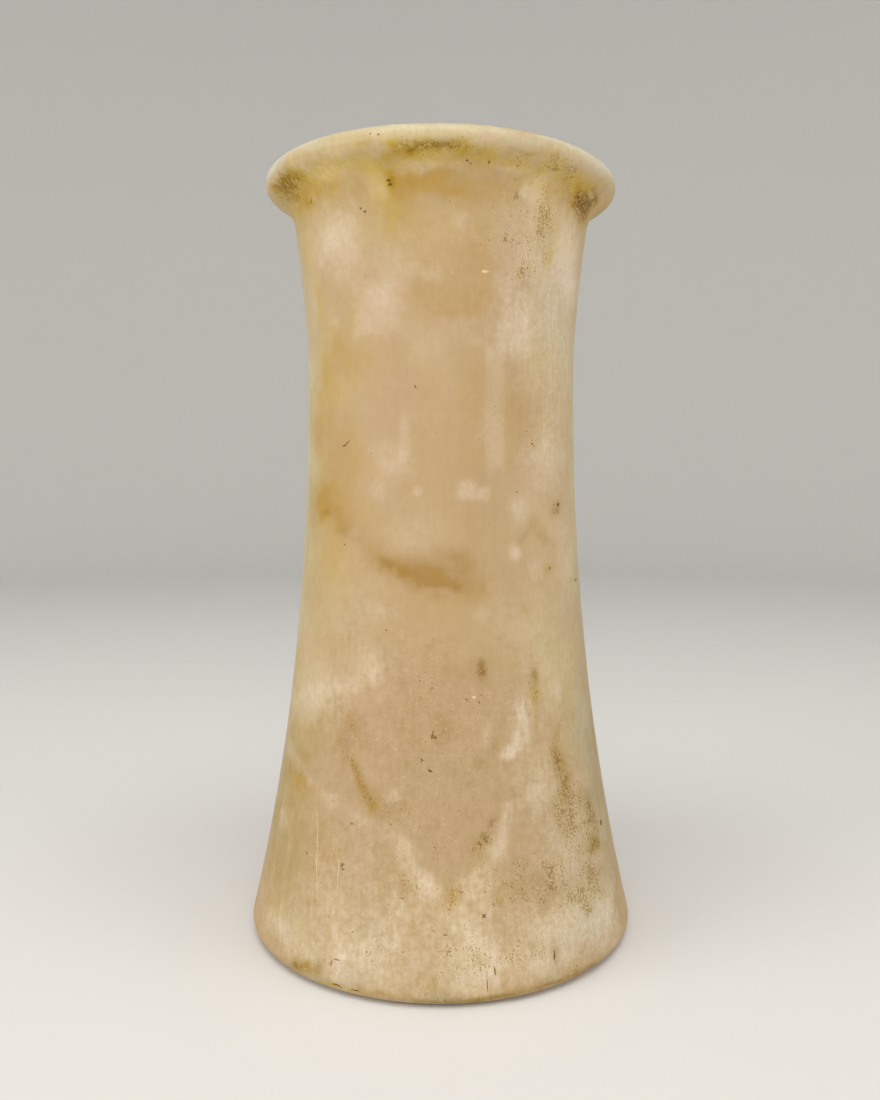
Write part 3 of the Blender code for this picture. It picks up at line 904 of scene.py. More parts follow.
        Blotch(51.0, 0.0215, 0.0060, 0.0060, 0.30),
        Blotch(62.0, 0.2092, 0.0056, 0.0036, 0.95, edge=3.0),
        Blotch(71.0, 0.2100, 0.0056, 0.0042, 0.90, edge=3.0),
        Blotch(27.0, 0.2051, 0.0012, 0.0012, 0.75, edge=3.0),
        Blotch(41.0, 0.2040, 0.0026, 0.0036, 0.40),
        Blotch(38.5, 0.1975, 0.0014, 0.0012, 0.85, edge=3.0),
        Blotch(24.5, 0.1860, 0.0010, 0.0010, 0.55),
        Blotch(34.0, 0.1830, 0.0030, 0.0020, 0.40),
        Blotch(45.0, 0.2126, 0.0026, 0.0018, 0.80),
        Blotch(36.0, 0.2136, 0.0030, 0.0014, 0.50),
        Blotch(57.0, 0.0308, 0.0034, 0.0020, 0.65),
        Blotch(41.8, 0.0570, 0.0012, 0.0034, 0.60),
        Blotch(57.0, 0.0400, 0.0020, 0.0030, 0.50),
        Blotch(16.3, 0.0445, 0.0014, 0.0014, 0.70),
        Blotch(13.0, 0.0413, 0.0010, 0.0012, 0.70),
    ),
    Tone.CHALK: (
        # The five patches along the top of the rim's roll and the one at -76 degrees on the left edge are
        # painted sheen; the rest are rubbed pale stone.
        Blotch(-66.0, 0.2170, 0.0100, 0.0028, 0.90, edge=2.6),
        Blotch(-47.0, 0.2178, 0.0100, 0.0020, 0.55),
        Blotch(-10.0, 0.2184, 0.0160, 0.0012, 0.35),
        Blotch(42.0, 0.2178, 0.0180, 0.0018, 0.60),
        Blotch(62.0, 0.2168, 0.0110, 0.0024, 0.75),
        Blotch(-76.0, 0.1500, 0.0030, 0.0450, 0.40),
        Blotch(62.0, 0.0620, 0.0050, 0.0120, 0.22),
        Blotch(46.0, 0.0240, 0.0160, 0.0170, 0.26, edge=3.0),
        Blotch(50.0, 0.0150, 0.0080, 0.0060, 0.34),
        Blotch(50.0, 0.0440, 0.0100, 0.0100, 0.12),
        Blotch(-50.0, 0.0130, 0.0160, 0.0070, 0.16, edge=3.0),
        Blotch(45.0, 0.0085, 0.0160, 0.0050, 0.26, edge=3.0),
        Blotch(-38.0, 0.0085, 0.0040, 0.0040, 0.12),
        Blotch(-25.0, 0.0045, 0.0090, 0.0030, 0.34),
        Blotch(-9.0, 0.0085, 0.0040, 0.0040, 0.24),
        Blotch(8.0, 0.0100, 0.0070, 0.0070, 0.20),
        Blotch(46.0, 0.1780, 0.0070, 0.0080, 0.34),
        Blotch(56.0, 0.1700, 0.0110, 0.0080, 0.24),
        Blotch(-62.0, 0.1740, 0.0080, 0.0140, 0.12),
        Blotch(-46.0, 0.0990, 0.0110, 0.0100, 0.16),
    ),
    Tone.WEAR: (
        Blotch(0.0, 0.0150, 0.1000, 0.0560, 0.90, edge=3.0),
        Blotch(34.0, 0.1940, 0.0110, 0.0150, 0.36),
        Blotch(52.0, 0.1620, 0.0200, 0.0240, 0.55),
        Blotch(64.0, 0.2095, 0.0140, 0.0055, 0.90),
        Blotch(-62.0, 0.2110, 0.0140, 0.0050, 0.90),
        Blotch(4.0, 0.2125, 0.0240, 0.0030, 0.50),
        Blotch(0.0, 0.0740, 0.0300, 0.0180, 0.70, edge=3.0),
    ),
}

# Specks, nicks and short cracks
DARK_STROKES = (
    Stroke(-17.7, 0.2076, 0.0013, 0.0007),
    Stroke(-17.5, 0.2067, 0.0010, 0.0008),
    Stroke(-29.2, 0.2018, 0.0010, 0.0005, turn=-25.0),
    Stroke(-27.6, 0.2009, 0.0009, 0.0006),
    Stroke(-54.4, 0.2068, 0.0005, 0.0020, turn=-20.0),
    Stroke(8.2, 0.2112, 0.0007, 0.0007),
    Stroke(9.4, 0.2108, 0.0006, 0.0006),
    Stroke(15.2, 0.2113, 0.0007, 0.0010),
    Stroke(25.0, 0.2113, 0.0007, 0.0008),
    Stroke(-20.0, 0.2167, 0.0005, 0.0004),
    Stroke(-17.5, 0.2163, 0.0006, 0.0005),
    Stroke(-40.9, 0.1417, 0.0018, 0.0005, turn=12.0),
    Stroke(-39.3, 0.1424, 0.0018, 0.0004, turn=32.0),
    Stroke(39.3, 0.1415, 0.0006, 0.0005),
    Stroke(38.4, 0.1421, 0.0010, 0.0004, turn=-35.0),
    Stroke(-9.6, 0.1566, 0.0005, 0.0010, turn=30.0),
    Stroke(30.2, 0.1294, 0.0006, 0.0006),
    Stroke(54.2, 0.1257, 0.0014, 0.0009, turn=20.0),
    Stroke(53.4, 0.1236, 0.0011, 0.0008),
    Stroke(51.0, 0.1258, 0.0007, 0.0006),
    Stroke(46.2, 0.1086, 0.0008, 0.0006),
    Stroke(69.6, 0.1039, 0.0028, 0.0008),
    Stroke(-39.3, 0.1152, 0.0006, 0.0005),
    Stroke(-19.6, 0.0933, 0.0006, 0.0005),
    Stroke(8.7, 0.0759, 0.0008, 0.0005),
    Stroke(13.0, 0.0750, 0.0004, 0.0007, turn=20.0),
    Stroke(-2.7, 0.0668, 0.0006, 0.0022, turn=-6.0),
    Stroke(-1.9, 0.0663, 0.0009, 0.0013, turn=30.0),
    Stroke(-5.9, 0.0605, 0.0012, 0.0004, turn=-25.0),
    Stroke(-3.2, 0.0577, 0.0014, 0.0005, turn=-28.0),
    Stroke(-45.3, 0.0316, 0.0008, 0.0007),
    Stroke(-30.4, 0.0318, 0.0009, 0.0011),
    Stroke(-30.2, 0.0307, 0.0007, 0.0007),
    Stroke(-28.4, 0.0426, 0.0012, 0.0005, turn=8.0),
    Stroke(65.5, 0.0346, 0.0024, 0.0016),
    Stroke(12.0, 0.0217, 0.0018, 0.0004, turn=42.0),
    Stroke(12.0, 0.0217, 0.0016, 0.0004, turn=-38.0),
    Stroke(12.0, 0.0217, 0.0004, 0.0014),
    Stroke(32.0, 0.0085, 0.0006, 0.0034, turn=-6.0),
    Stroke(14.2, 0.0084, 0.0005, 0.0022, turn=6.0),
    Stroke(12.0, 0.0058, 0.0003, 0.0054),
    Stroke(-30.4, 0.0075, 0.0004, 0.0013, turn=-10.0),
    Stroke(-28.7, 0.0086, 0.0020, 0.0003, turn=5.0),
    Stroke(-28.1, 0.0022, 0.0026, 0.0005, turn=-6.0),
    Stroke(-22.1, 0.0022, 0.0022, 0.0004, turn=-4.0),
    Stroke(1.2, 0.0177, 0.0014, 0.0003, turn=-8.0),
)

# Pale scratches and bruises
PALE_STROKES = (
    Stroke(16.3, 0.1858, 0.0020, 0.0006, turn=-3.0),
    Stroke(-41.8, 0.0380, 0.00024, 0.0120, turn=12.0),
    Stroke(-39.7, 0.0275, 0.00022, 0.0110, turn=12.0),
    Stroke(-31.6, 0.0290, 0.00018, 0.0110, turn=4.0),
    Stroke(11.3, 0.0763, 0.0010, 0.0006),
)

# Breaks along the foot's edge: angle, height, half sizes across and up, and depth
FOOT_CHIPS = (
    Chip(-28.1, 0.0022, 0.0024, 0.0012, 0.00050),
    Chip(-22.1, 0.0023, 0.0018, 0.0010, 0.00040),
    Chip(-16.1, 0.0024, 0.0026, 0.0012, 0.00035),
    Chip(15.0, 0.0018, 0.0034, 0.0016, 0.00045),
    Chip(29.4, 0.0016, 0.0040, 0.0014, 0.00050),
    Chip(45.0, 0.0014, 0.0030, 0.0016, 0.00060),
)


@dataclass
class WeatheringAndPaintedLight:
    """How time has worked on the stone, with painted light and shade among its tones: where each tone lies
    and how deep the surface is worn away.
    """

    surface: Surface
    cloud_seed: int = 11
    draw_seed: int = 23

    # Depths cut into the stone, and the rings left in the bore
    least_inset: float = 0.00003
    unevenness: float = 0.00007
    erosion: float = 0.00012
    worn_erosion: float = 0.35
    ring_depth: float = 0.00016
    ring_gap: float = 0.0052
    ring_waver: float = 0.35
    ring_patchiness: float = 0.4

    # Sizes of the uneven fields, and the shifts that keep them apart
    wobble_sizes: Pair = (0.0085, 0.0021)
    wobble_shares: Pair = (0.45, 0.30)
    wobble_shift: Triple = (0.31, 0.17, 0.53)
    broad_size: float = 0.030
    cloud_size: float = 0.0080
    drift_size: float = 0.026
    patchy_size: float = 0.018
    mottle_size: float = 0.0044
    rough_size: float = 0.0026
    waver_size: float = 0.020
    ring_patch_size: float = 0.011
    broad_shift: float = 0.4
    cloud_shift: float = 0.7
    mottle_shift: float = 0.9

    # Shares by which the uneven fields change the tones
    broad_share: float = 0.9
    cloud_share: float = 0.62
    pits_by_cloud: Pair = (0.45, 1.1)
    drift_share: float = 0.22
    mottled_tan: float = 0.36
    tan_from: float = 0.10
    mottled_stains: tuple[tuple[Tone, float], ...] = ((Tone.OLIVE, 0.7), (Tone.OCHRE, 0.5))
    mottle_limit: float = 0.60

    # Wear at the foot and the bore's bottom, and silt in the bore
    low_height: float = 0.085
    low_wear: float = 0.8
    silt_height: float = 0.150
    silt_reach: float = 0.130
    silt_thin: float = 0.20
    silt_deep: float = 0.45
    silt_settled: float = 0.35
    silt_drift: float = 0.25

    # Where the front ends and the hidden sides and back start
    front_half: float = math.radians(84.0)
    front_fade: float = math.radians(14.0)
    hidden_from: float = math.radians(74.0)
    hidden_fade: float = math.radians(16.0)

    # Loose patches on the back, and bands that carry on round it: tone, share, height and width
    back_marks: int = 46
    back_angles: Pair = (92.0, 268.0)
    back_heights: Pair = (0.012, 0.200)
    back_widths: Pair = (0.004, 0.013)
    back_shapes: Pair = (0.7, 2.6)
    back_strengths: Pair = (0.30, 0.70)
    back_turns: Pair = (-15.0, 15.0)
    back_edge: float = 2.5
    patchy_base: float = 0.55
    patchy_share: float = 0.9
    back_bands: tuple[tuple[Tone, float, float, float], ...] = (
        (Tone.OLIVE, 0.85, 0.2115, 0.0042),
        (Tone.PITS, 0.45, 0.2115, 0.0042),
        (Tone.PITS, 0.35, 0.020, 0.030),
    )

    # Small breaks scattered round the edges
    loose_chips: int = 44
    chip_sizes: Pair = (0.0008, 0.0026)
    chip_depths: Pair = (0.00012, 0.00038)
    chip_squash: float = 0.55
    foot_chip_height: float = 0.0018
    rim_chip_height: float = 0.2150
    rim_chip_share: float = 0.5

    def __post_init__(self) -> None:
        """Prepare the draws and the uneven offsets that every mark shares."""
        self.clouds = Clouds(self.cloud_seed)
        self.draws = np.random.default_rng(self.draw_seed)
        points = self.surface.points
        pairs = tuple(zip(self.wobble_shares, self.wobble_sizes))
        self.wobble = np.stack([
            sum(share * self.clouds.at(place, size, 2) for share, size in pairs)
            for place in (points, points + np.array(self.wobble_shift))
        ])

    def _draw(self, span: Pair) -> float:
        """One even draw between two bounds."""
        return float(self.draws.uniform(*span))

    def _uneven(self, size: float, octaves: int, shift: float = 0.0) -> np.ndarray:
        """A cloudy field over the surface; another shift, in metres, gives another field."""
        return self.clouds.at(self.surface.points + shift, size, octaves)

    def _back_mark(self) -> tuple[Tone, Blotch]:
        """Draw one soft patch somewhere on the sides or the back.

        Returns:
            The patch's tone and the patch.
        """
        tones = (Tone.MILK, Tone.HONEY, Tone.OCHRE, Tone.OLIVE, Tone.ROSE, Tone.SAGE, Tone.PITS)
        tone = tones[int(self.draws.integers(len(tones)))]
        angle = self._draw(self.back_angles)
        height = self._draw(self.back_heights)
        across = self._draw(self.back_widths)
        up = across * self._draw(self.back_shapes)
        strength = self._draw(self.back_strengths)
        turn = self._draw(self.back_turns)
        return tone, Blotch(angle, height, across, up, strength, turn, self.back_edge)

    def _hidden_half(self) -> dict[Tone, np.ndarray]:
        """Marks of the sides and back: loose patches, the stained ring under the rim and the pitted foot.

        Returns:
            The strength of each tone at each point.
        """
        surface = self.surface
        fields = {tone: np.zeros(surface.points.shape[:-1]) for tone in Tone}
        for _ in range(self.back_marks):
            tone, blotch = self._back_mark()
            fields[tone] += blotch.spread(surface, self.wobble)
        behind = ramp(np.abs(surface.angle), self.hidden_from, self.hidden_fade)[None, :]
        patchy = np.clip(self.patchy_base + self.patchy_share * self._uneven(self.patchy_size, 2), 0.0, 1.0)
        for tone, share, height, width in self.back_bands:
            fields[tone] += share * surface.band(height, width) * patchy * behind
        return fields

    def _break_up(self, fields: dict[Tone, np.ndarray]) -> None:
        """Fill the two cloudy fields, gather the pits in their clouds and mottle the stains in front.

        Args:
            fields: The strength of each tone, which is changed.
        """
        broad = self._uneven(self.broad_size, 2, self.broad_shift)
        cloud = self._uneven(self.cloud_size, 3, self.cloud_shift)
        mottled = self._uneven(self.mottle_size, 3, self.mottle_shift)
        fields[Tone.BROAD] = np.clip(0.5 + self.broad_share * broad, 0.0, 1.0)
        fields[Tone.CLOUD] = np.clip(0.5 + self.cloud_share * cloud, 0.0, 1.0)
        sparse, gathered = self.pits_by_cloud
        fields[Tone.PITS] *= sparse + gathered * fields[Tone.CLOUD]
        worn = np.clip(fields[Tone.WEAR], 0.0, 1.0)
        fields[Tone.TAN] += self.mottled_tan * np.clip(mottled - self.tan_from, 0.0, None) * worn
        front = ramp(np.abs(self.surface.angle), self.front_half, -self.front_fade)[None, :]
        for tone, share in self.mottled_stains:
            fields[tone] *= 1.0 + front * np.clip(share * mottled, -self.mottle_limit, self.mottle_limit)

    def _settle(self, fields: dict[Tone, np.ndarray], outside: np.ndarray) -> None:
        """Let milk and honey drift, wear the foot and the bore's bottom, and lay silt in the bore.

        Args:
            fields: The strength of each tone, which is changed.
            outside: One for the rows of the outside and nought for the others.
        """
        surface = self.surface
        drift = self._uneven(self.drift_size, 3)
        fields[Tone.MILK] += self.drift_share * np.clip(drift, 0.0, None)
        fields[Tone.HONEY] += self.drift_share * np.clip(-drift, 0.0, None)
        low = ramp(surface.height, self.low_height, -self.low_height)[:, None]
        standing = surface.is_on(Stretch.UNDERSIDE, Stretch.FOOT)
        fields[Tone.WEAR] += self.low_wear * low * (1.0 - outside) + self.low_wear * standing
        inside = surface.is_on(Stretch.BORE, Stretch.CORNER, Stretch.FLOOR)
        settled = surface.is_on(Stretch.CORNER, Stretch.FLOOR)
        deep = ramp(surface.height, self.silt_height, -self.silt_reach)[:, None]
        silt = inside * (self.silt_thin + self.silt_deep * deep) + self.silt_settled * settled
        fields[Tone.SILT] += silt + self.silt_drift * inside * drift

    def tones(self) -> dict[Tone, np.ndarray]:
        """Strength of each tone at each point of the grid, from nought to one.

        Returns:
            One array of rows and columns for each tone.
        """
        surface = self.surface
        fields = self._hidden_half()
        for tone, marks in MARKS.items():
            for mark in marks:
                fields[tone] += mark.spread(surface, self.wobble)
        outside = surface.is_on(Stretch.UNDERSIDE, *OUTER_WALL, Stretch.LAND)
        for tone in Tone:
            fields[tone] *= outside
        self._break_up(fields)
        self._settle(fields, outside)
        return {tone: np.clip(field, 0.0, 1.0) for tone, field in fields.items()}

    def _loose_chips(self) -> tuple[Chip, ...]:
        """Small breaks round the edges of the foot and the rim, two to one, scattered by draw.

        Returns:
            The chips.
        """
        chips = []
        for index in range(self.loose_chips):
            at_foot = index % 3 > 0
            height = self.foot_chip_height if at_foot else self.rim_chip_height
            size = self._draw(self.chip_sizes)
            angle = self._draw((0.0, 360.0))
            depth = self._draw(self.chip_depths) * (1.0 if at_foot else self.rim_chip_share)
            chips.append(Chip(angle, height, size, size * self.chip_squash, depth))
        return tuple(chips)

    def depth(self, tones: dict[Tone, np.ndarray]) -> np.ndarray:
        """How far the stone is worn back: gentle unevenness, eroded patches, chips, and rings in the bore.

        Args:
            tones: The strengths of the tones, for where the stone is pitted and worn.

        Returns:
            A depth of nought or more at each point of the grid.
        """
        surface = self.surface
        outside = surface.is_on(*OUTER_WALL)
        gentle = self.least_inset + self.unevenness * (1.0 + self._uneven(self.broad_size, 2))
        rough = self.erosion * np.clip(self._uneven(self.rough_size, 2), 0.0, None)
        open_stone = np.clip(tones[Tone.PITS] + self.worn_erosion * tones[Tone.WEAR], 0.0, 1.0)
        depth = outside * (gentle + rough * open_stone)
        for chip in FOOT_CHIPS + self._loose_chips():
            depth = np.maximum(depth, outside * chip.cut(surface, self.wobble))
        wave = surface.height[:, None] / self.ring_gap + self.ring_waver * self._uneven(self.waver_size, 1)
        patches = 1.0 - self.ring_patchiness + self.ring_patchiness * self._uneven(self.ring_patch_size, 1)
        ring = self.ring_depth * (1.0 + np.sin(2 * math.pi * wave)) * patches
        return np.clip(depth + surface.is_on(Stretch.BORE) * ring, 0.0, None)


@dataclass
class Vessel:
    """The vessel's one piece of stone, as a closed grid that turns round the axis."""

    outline: Outline = Outline()
    columns: int = 272
    squeeze: float = 0.45

    def _faces(self, rings: int) -> tuple[np.ndarray, np.ndarray]:
        """Corners of the four-sided faces between rings, and of the fans that close the two poles.

        Args:
            rings: Number of rings between the poles.

        Returns:
            Whole numbers of the corners, four and three to a face.
        """
        ring = np.arange(self.columns)
        following = (ring + 1) % self.columns
        last = 1 + (rings - 1) * self.columns
        lower = np.stack([np.zeros_like(ring), 1 + following, 1 + ring], axis=-1)
        upper = np.stack([last + ring, last + following, np.full_like(ring, last + self.columns)], axis=-1)
        return 1 + ring_quads(rings, self.columns), np.concatenate([lower, upper])

    def _mesh(self, points: np.ndarray) -> bpy.types.Mesh:
        """Put a grid of points, whose first and last rows are the poles, into a mesh.

        Args:
            points: Three coordinates for each row and column.

        Returns:
            The mesh, shaded smooth.
        """
        places = np.concatenate([points[0, :1], points[1:-1].reshape(-1, 3), points[-1, :1]])
        quads, fans = self._faces(len(points) - 2)
        corners = np.concatenate([quads.ravel(), fans.ravel()])
        sizes = np.concatenate([np.full(len(quads), 4), np.full(len(fans), 3)])
        mesh = bpy.data.meshes.new("vessel_stone")
        mesh.vertices.add(len(places))
        mesh.vertices.foreach_set("co", places.astype(np.float32).ravel())
        mesh.loops.add(len(corners))
        mesh.loops.foreach_set("vertex_index", corners.astype(np.int32))
        starts = np.concatenate([[0], np.cumsum(sizes)[:-1]])
        mesh.polygons.add(len(sizes))
        mesh.polygons.foreach_set("loop_start", starts.astype(np.int32))
        mesh.update(calc_edges=True)
        mesh.validate()
        mesh.shade_smooth()
        return mesh

    def build(self) -> bpy.types.Object:
        """Make the worn stone and dress it.

        Returns:
            The vessel's object, at the origin.
        """
        surface = Surface(self.outline, self.columns, self.squeeze)
        weathering_and_painted_light = WeatheringAndPaintedLight(surface)
        tones = weathering_and_painted_light.tones()
        mesh = self._mesh(surface.raised(weathering_and_painted_light.depth(tones)))
        for tone, field in tones.items():
            values = np.concatenate([field[0, :1], field[1:-1].ravel(), field[-1, :1]])
            strengths = mesh.attributes.new(tone.value, "FLOAT", "POINT").data
            strengths.foreach_set("value", values.astype(np.float32))
        stone = bpy.data.objects.new("vessel_stone", mesh)
        bpy.context.scene.collection.objects.link(stone)
        mesh.materials.append(Alabaster(surface).material())
        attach(stone, "root")
        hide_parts("vessel")
        return stone


class Signal:
    """A node's output, wrapped so that sums on it read as Python and add their Math nodes."""

    def __init__(self, wiring: "Wiring", socket: bpy.types.NodeSocket) -> None:
        """Hold one output socket.

        Args:
            wiring: The material's nodes.
            socket: The output.
        """
        self.wiring = wiring
        self.socket = socket

    def _math(self, operation: str, *values: "Number") -> "Signal":
        """Add one Math node and return its value."""
        return self.wiring.node("ShaderNodeMath", {"operation": operation}, dict(enumerate(values)))

    def __add__(self, other: "Number") -> "Signal":
        """Sum of this and another."""
        return self._math("ADD", self, other)

    def __radd__(self, other: "Number") -> "Signal":
        """Sum of a number and this."""
        return self._math("ADD", other, self)

    def __sub__(self, other: "Number") -> "Signal":
        """This less another."""
        return self._math("SUBTRACT", self, other)

    def __rsub__(self, other: "Number") -> "Signal":
        """A number less this."""
        return self._math("SUBTRACT", other, self)

    def __mul__(self, other: "Number") -> "Signal":
        """Product of this and another."""
        return self._math("MULTIPLY", self, other)

    def __rmul__(self, other: "Number") -> "Signal":
        """Product of a number and this."""
        return self._math("MULTIPLY", other, self)

    def __or__(self, other: "Number") -> "Signal":
        """The larger of this and another."""
        return self._math("MAXIMUM", self, other)

    def __and__(self, other: "Number") -> "Signal":
        """The smaller of this and another."""
        return self._math("MINIMUM", self, other)

    def __abs__(self) -> "Signal":
        """This without its sign."""
        return self._math("ABSOLUTE", self)

    def clipped(self) -> "Signal":
        """This, kept from nought to one."""
        return self.wiring.node("ShaderNodeClamp", {}, {0: self})

    def rise(self, low: float, high: float) -> "Signal":
        """Nought below one value and one above another, with an eased step between them."""
        settings = {"interpolation_type": "SMOOTHSTEP"}
        return self.wiring.node("ShaderNodeMapRange", settings, {0: self, 1: low, 2: high})


Number = Union[Signal, float]
Input = Union[Signal, float, tuple[float, ...]]


class Blend(Enum):
    """Ways of laying one colour on another; each value is Blender's name for it."""

    COVER = "MIX"
    STAIN = "MULTIPLY"


class Wiring:
    """The nodes of one material."""

    def __init__(self, tree: bpy.types.NodeTree) -> None:
        """Hold the material's node tree."""
        self.tree = tree

    def node(self, kind: str, settings: dict[str, Any], inputs: dict[Any, Input], output: Any = 0) -> Signal:
        """Add a node, set it and feed it.

        Args:
            kind: Blender's name for the node type.
            settings: Values of the node's own properties, set first.
            inputs: Numbers, colours or signals for its inputs, by number or name.
            output: Number or name of the output that is used.

        Returns:
            The chosen output.
        """
        made = self.tree.nodes.new(kind)
        for name, value in settings.items():
            setattr(made, name, value)
        for name, value in inputs.items():
            if isinstance(value, Signal):
                self.tree.links.new(value.socket, made.inputs[name])
            else:
                made.inputs[name].default_value = value
        return Signal(self, made.outputs[output])

    def mix(self, factor: Number, first: Input, second: Input, blend: Blend = Blend.COVER) -> Signal:
        """Lay a second colour on the first, by a share."""
        settings = {"data_type": "RGBA", "blend_type": blend.value}
        return self.node("ShaderNodeMix", settings, {0: factor, 6: first, 7: second}, 2)

    def noise(self, place: Signal, size: float, detail: float) -> Signal:
        """Cloudy noise, near one half on average, with features of about a size in metres."""
        inputs = {"Vector": place, "Scale": 1.0 / size, "Detail": detail, "Roughness": 0.55}
        return self.node("ShaderNodeTexNoise", {}, inputs, "Fac")

    def strength(self, tone: Tone) -> Signal:
        """Strength of a tone, read from the mesh."""
        return self.node("ShaderNodeAttribute", {"attribute_name": tone.value}, {}, "Fac")


@dataclass(frozen=True)
class Noises:
    """The stone's noises, from patches down to dots of its pits' size, and fibres drawn out upwards."""

    patches: Signal
    small: Signal
    dots: Signal
    fibres: Signal


def weighed(shares: Shares, *fields: Signal) -> Signal:
    """A steady share plus each field times its own share.

    Args:
        shares: The steady share, then one for each field.
        fields: The fields.

    Returns:
        The sum.
    """
    total = shares[0]
    for share, field in zip(shares[1:], fields):
        total = total + share * field
    return total


def light(value: float) -> float:
    """Linear light of a display value of 0 to 255, with the display's usual curve undone."""
    share = value / 255
    return ((share + 0.055) / 1.055)**2.4 if share > 0.04045 else share / 12.92


def paint(red: float, green: float, blue: float) -> Colour:
    """A colour of full cover in linear light, from display values of 0 to 255."""
    return (light(red), light(green), light(blue), 1.0)


@dataclass(frozen=True)
class Alabaster:
    """Warm banded calcite: waxy where polished, matt and mottled where worn, brown in its pits."""

    surface: Surface

    # Colours of the stone itself, of silt in the bore, of fresh scratches and of painted light and shade
    body: Colour = paint(188, 162, 116)
    blush: Colour = paint(188, 159, 121)
    # milky stone, also used for painted light
    milk: Colour = paint(214, 195, 170)
    honey: Colour = paint(184, 150, 96)
    # also used for painted shade on the right edge
    rose: Colour = paint(186, 154, 123)
    # also used for painted sheen and shading on the edges
    sage: Colour = paint(193, 179, 137)
    # also used for painted sheen on the rim's roll and the left edge
    chalk: Colour = paint(206, 202, 184)
    # colour of the painted shade
    dusk: Colour = paint(162, 145, 103)
    worn: Colour = paint(184, 156, 124)
    silt: Colour = paint(140, 113, 78)
    scratch: Colour = paint(232, 214, 168)

    # Stains: the share of red, green and blue light that a full stain lets through
    ochre: Colour = (0.94, 0.87, 0.47, 1.0)
    tan: Colour = (0.72, 0.59, 0.24, 1.0)
    olive: Colour = (0.87, 0.79, 0.12, 1.0)
    umber: Colour = (0.50, 0.37, 0.07, 1.0)
    haze: Colour = (0.94, 0.91, 0.77, 1.0)
    pit: Colour = (0.47, 0.35, 0.07, 1.0)
    grime: Colour = (0.30, 0.20, 0.04, 1.0)

    # Sizes of the noises. Heights are squashed for the fibres, which draws them out upwards.
    patch_size: float = 0.0030
    small_size: float = 0.0015
    dot_size: float = 0.00052
    fibre_size: float = 0.0011
    fibre_squash: float = 0.07

    # How a tone is broken up: a steady share, then shares of the cloud, the small noise and the dots, each
    # noise stretched from its span to between nought and one
    noise_span: Pair = (0.25, 0.75)
    soft: Shares = (0.55, 0.50, 0.40)
    rough: Shares = (0.10, 0.40, 0.60, 0.55)
    tanned: Shares = (0.78, 0.30)
    worn_share: float = 0.50
    milky_fibres: float = 1.1

    # Pale flecks on worn stone: the level of the dots that they start below, their edge and their strength
    fleck_level: float = 0.40
    fleck_edge: float = 0.10
    fleck_share: float = 0.30

    # Light and dark mottling: by the cloud, by two noises, along the fibres and in patches. Shares are a
    # steady one and what wear, or sage and wear, add. It shows more in green and most in blue.
    cloud_shade: float = 0.05
    grain_small: float = 0.46
    grain_dots: float = 0.40
    grain_shares: Shares = (0.20, 0.55)
    fibre_shares: Shares = (0.05, 0.10, 0.07)
    patch_shares: Shares = (0.06, 0.08)
    green_tinge: float = 1.2
    blue_tinge: float = 1.9

    # Pits: shares of the noises and the mask, the level that they start at, their edge and strength
    pit_small: float = 0.26
    pit_patches: float = 0.34
    pit_share: float = 0.28
    pit_level: float = 1.055
    pit_edge: float = 0.11
    pit_strength: float = 0.72

    # Crust in curling lines: their half width in steps of the small noise, their edges and strength
    crust_width: float = 0.100
    crust_edges: Pair = (-0.01, 0.02)
    crust_strength: float = 0.85

    # Crisp marks: their reach in half sizes, their soft edge, how ragged they are, how deep they go, the
    # height over which the wall's lean is taken, and the strength of pale and dark ones
    stroke_reach: float = 1.30
    stroke_edge: float = 0.80
    ragged_small: float = 1.6
    ragged_dots: float = 1.8
    stroke_depth: float = 0.0020
    lean_step: float = 0.0004
    pale_strength: float = 0.75
    dark_strength: float = 0.90

    # Roughness of polished stone, what wear, pits and silt add to it, the shine, and fine relief
    polish: float = 0.42
    worn_matt: float = 0.16
    pitted_matt: float = 0.15
    silted_matt: float = 0.2
    shine: float = 0.22
    wear_depth: float = 0.00003
    grain_depth: float = 0.000012

    def _distance(self, wiring: Wiring, place: Signal, stroke: Stroke) -> Signal:
        """Distance from a crisp mark's middle, in units of its half sizes.

        Args:
            wiring: The material's nodes.
            place: Coordinates.
            stroke: The mark.

        Returns:
            Nought in the middle and one at the mark's edge.
        """
        radius = self.surface.radius_at(stroke.height)
        swell = self.surface.radius_at(stroke.height + self.lean_step) - radius
        angle = math.radians(stroke.angle)
        across = radius * math.sin(angle)
        drop = float(self.surface.outline.tip(np.array(across), np.array(stroke.height)))
        middle = (across, -radius * math.cos(angle), stroke.height - drop)
        right = Vector((math.cos(angle), math.sin(angle), 0.0))
        up = Vector((swell * math.sin(angle), -swell * math.cos(angle), self.lean_step)).normalized()
        turned = Matrix.Rotation(math.radians(stroke.turn), 3, "Z")
        axes = Matrix((right, up, right.cross(up))).transposed() @ turned
        half = (stroke.across / 2, stroke.up / 2, self.stroke_depth)
        inputs = {0: place, 1: middle, 2: tuple(axes.to_euler()), 3: half}
        local = wiring.node("ShaderNodeMapping", {"vector_type": "TEXTURE"}, inputs)
        return wiring.node("ShaderNodeVectorMath", {"operation": "LENGTH"}, {0: local}, "Value")

    def _strokes(self, wiring: Wiring, place: Signal, strokes: tuple[Stroke, ...], ragged: Signal) -> Signal:
        """Many crisp marks at once, from the distance to the nearest one.

        Args:
            wiring: The material's nodes.
            place: Coordinates.
            strokes: The marks.
            ragged: How far their edges are pushed out or in.

        Returns:
            One inside the marks and nought outside.
        """
        nearest = self._distance(wiring, place, strokes[0])
        for stroke in strokes[1:]:
            nearest = nearest & self._distance(wiring, place, stroke)
        return (self.stroke_reach + ragged - nearest).rise(0.0, self.stroke_edge)

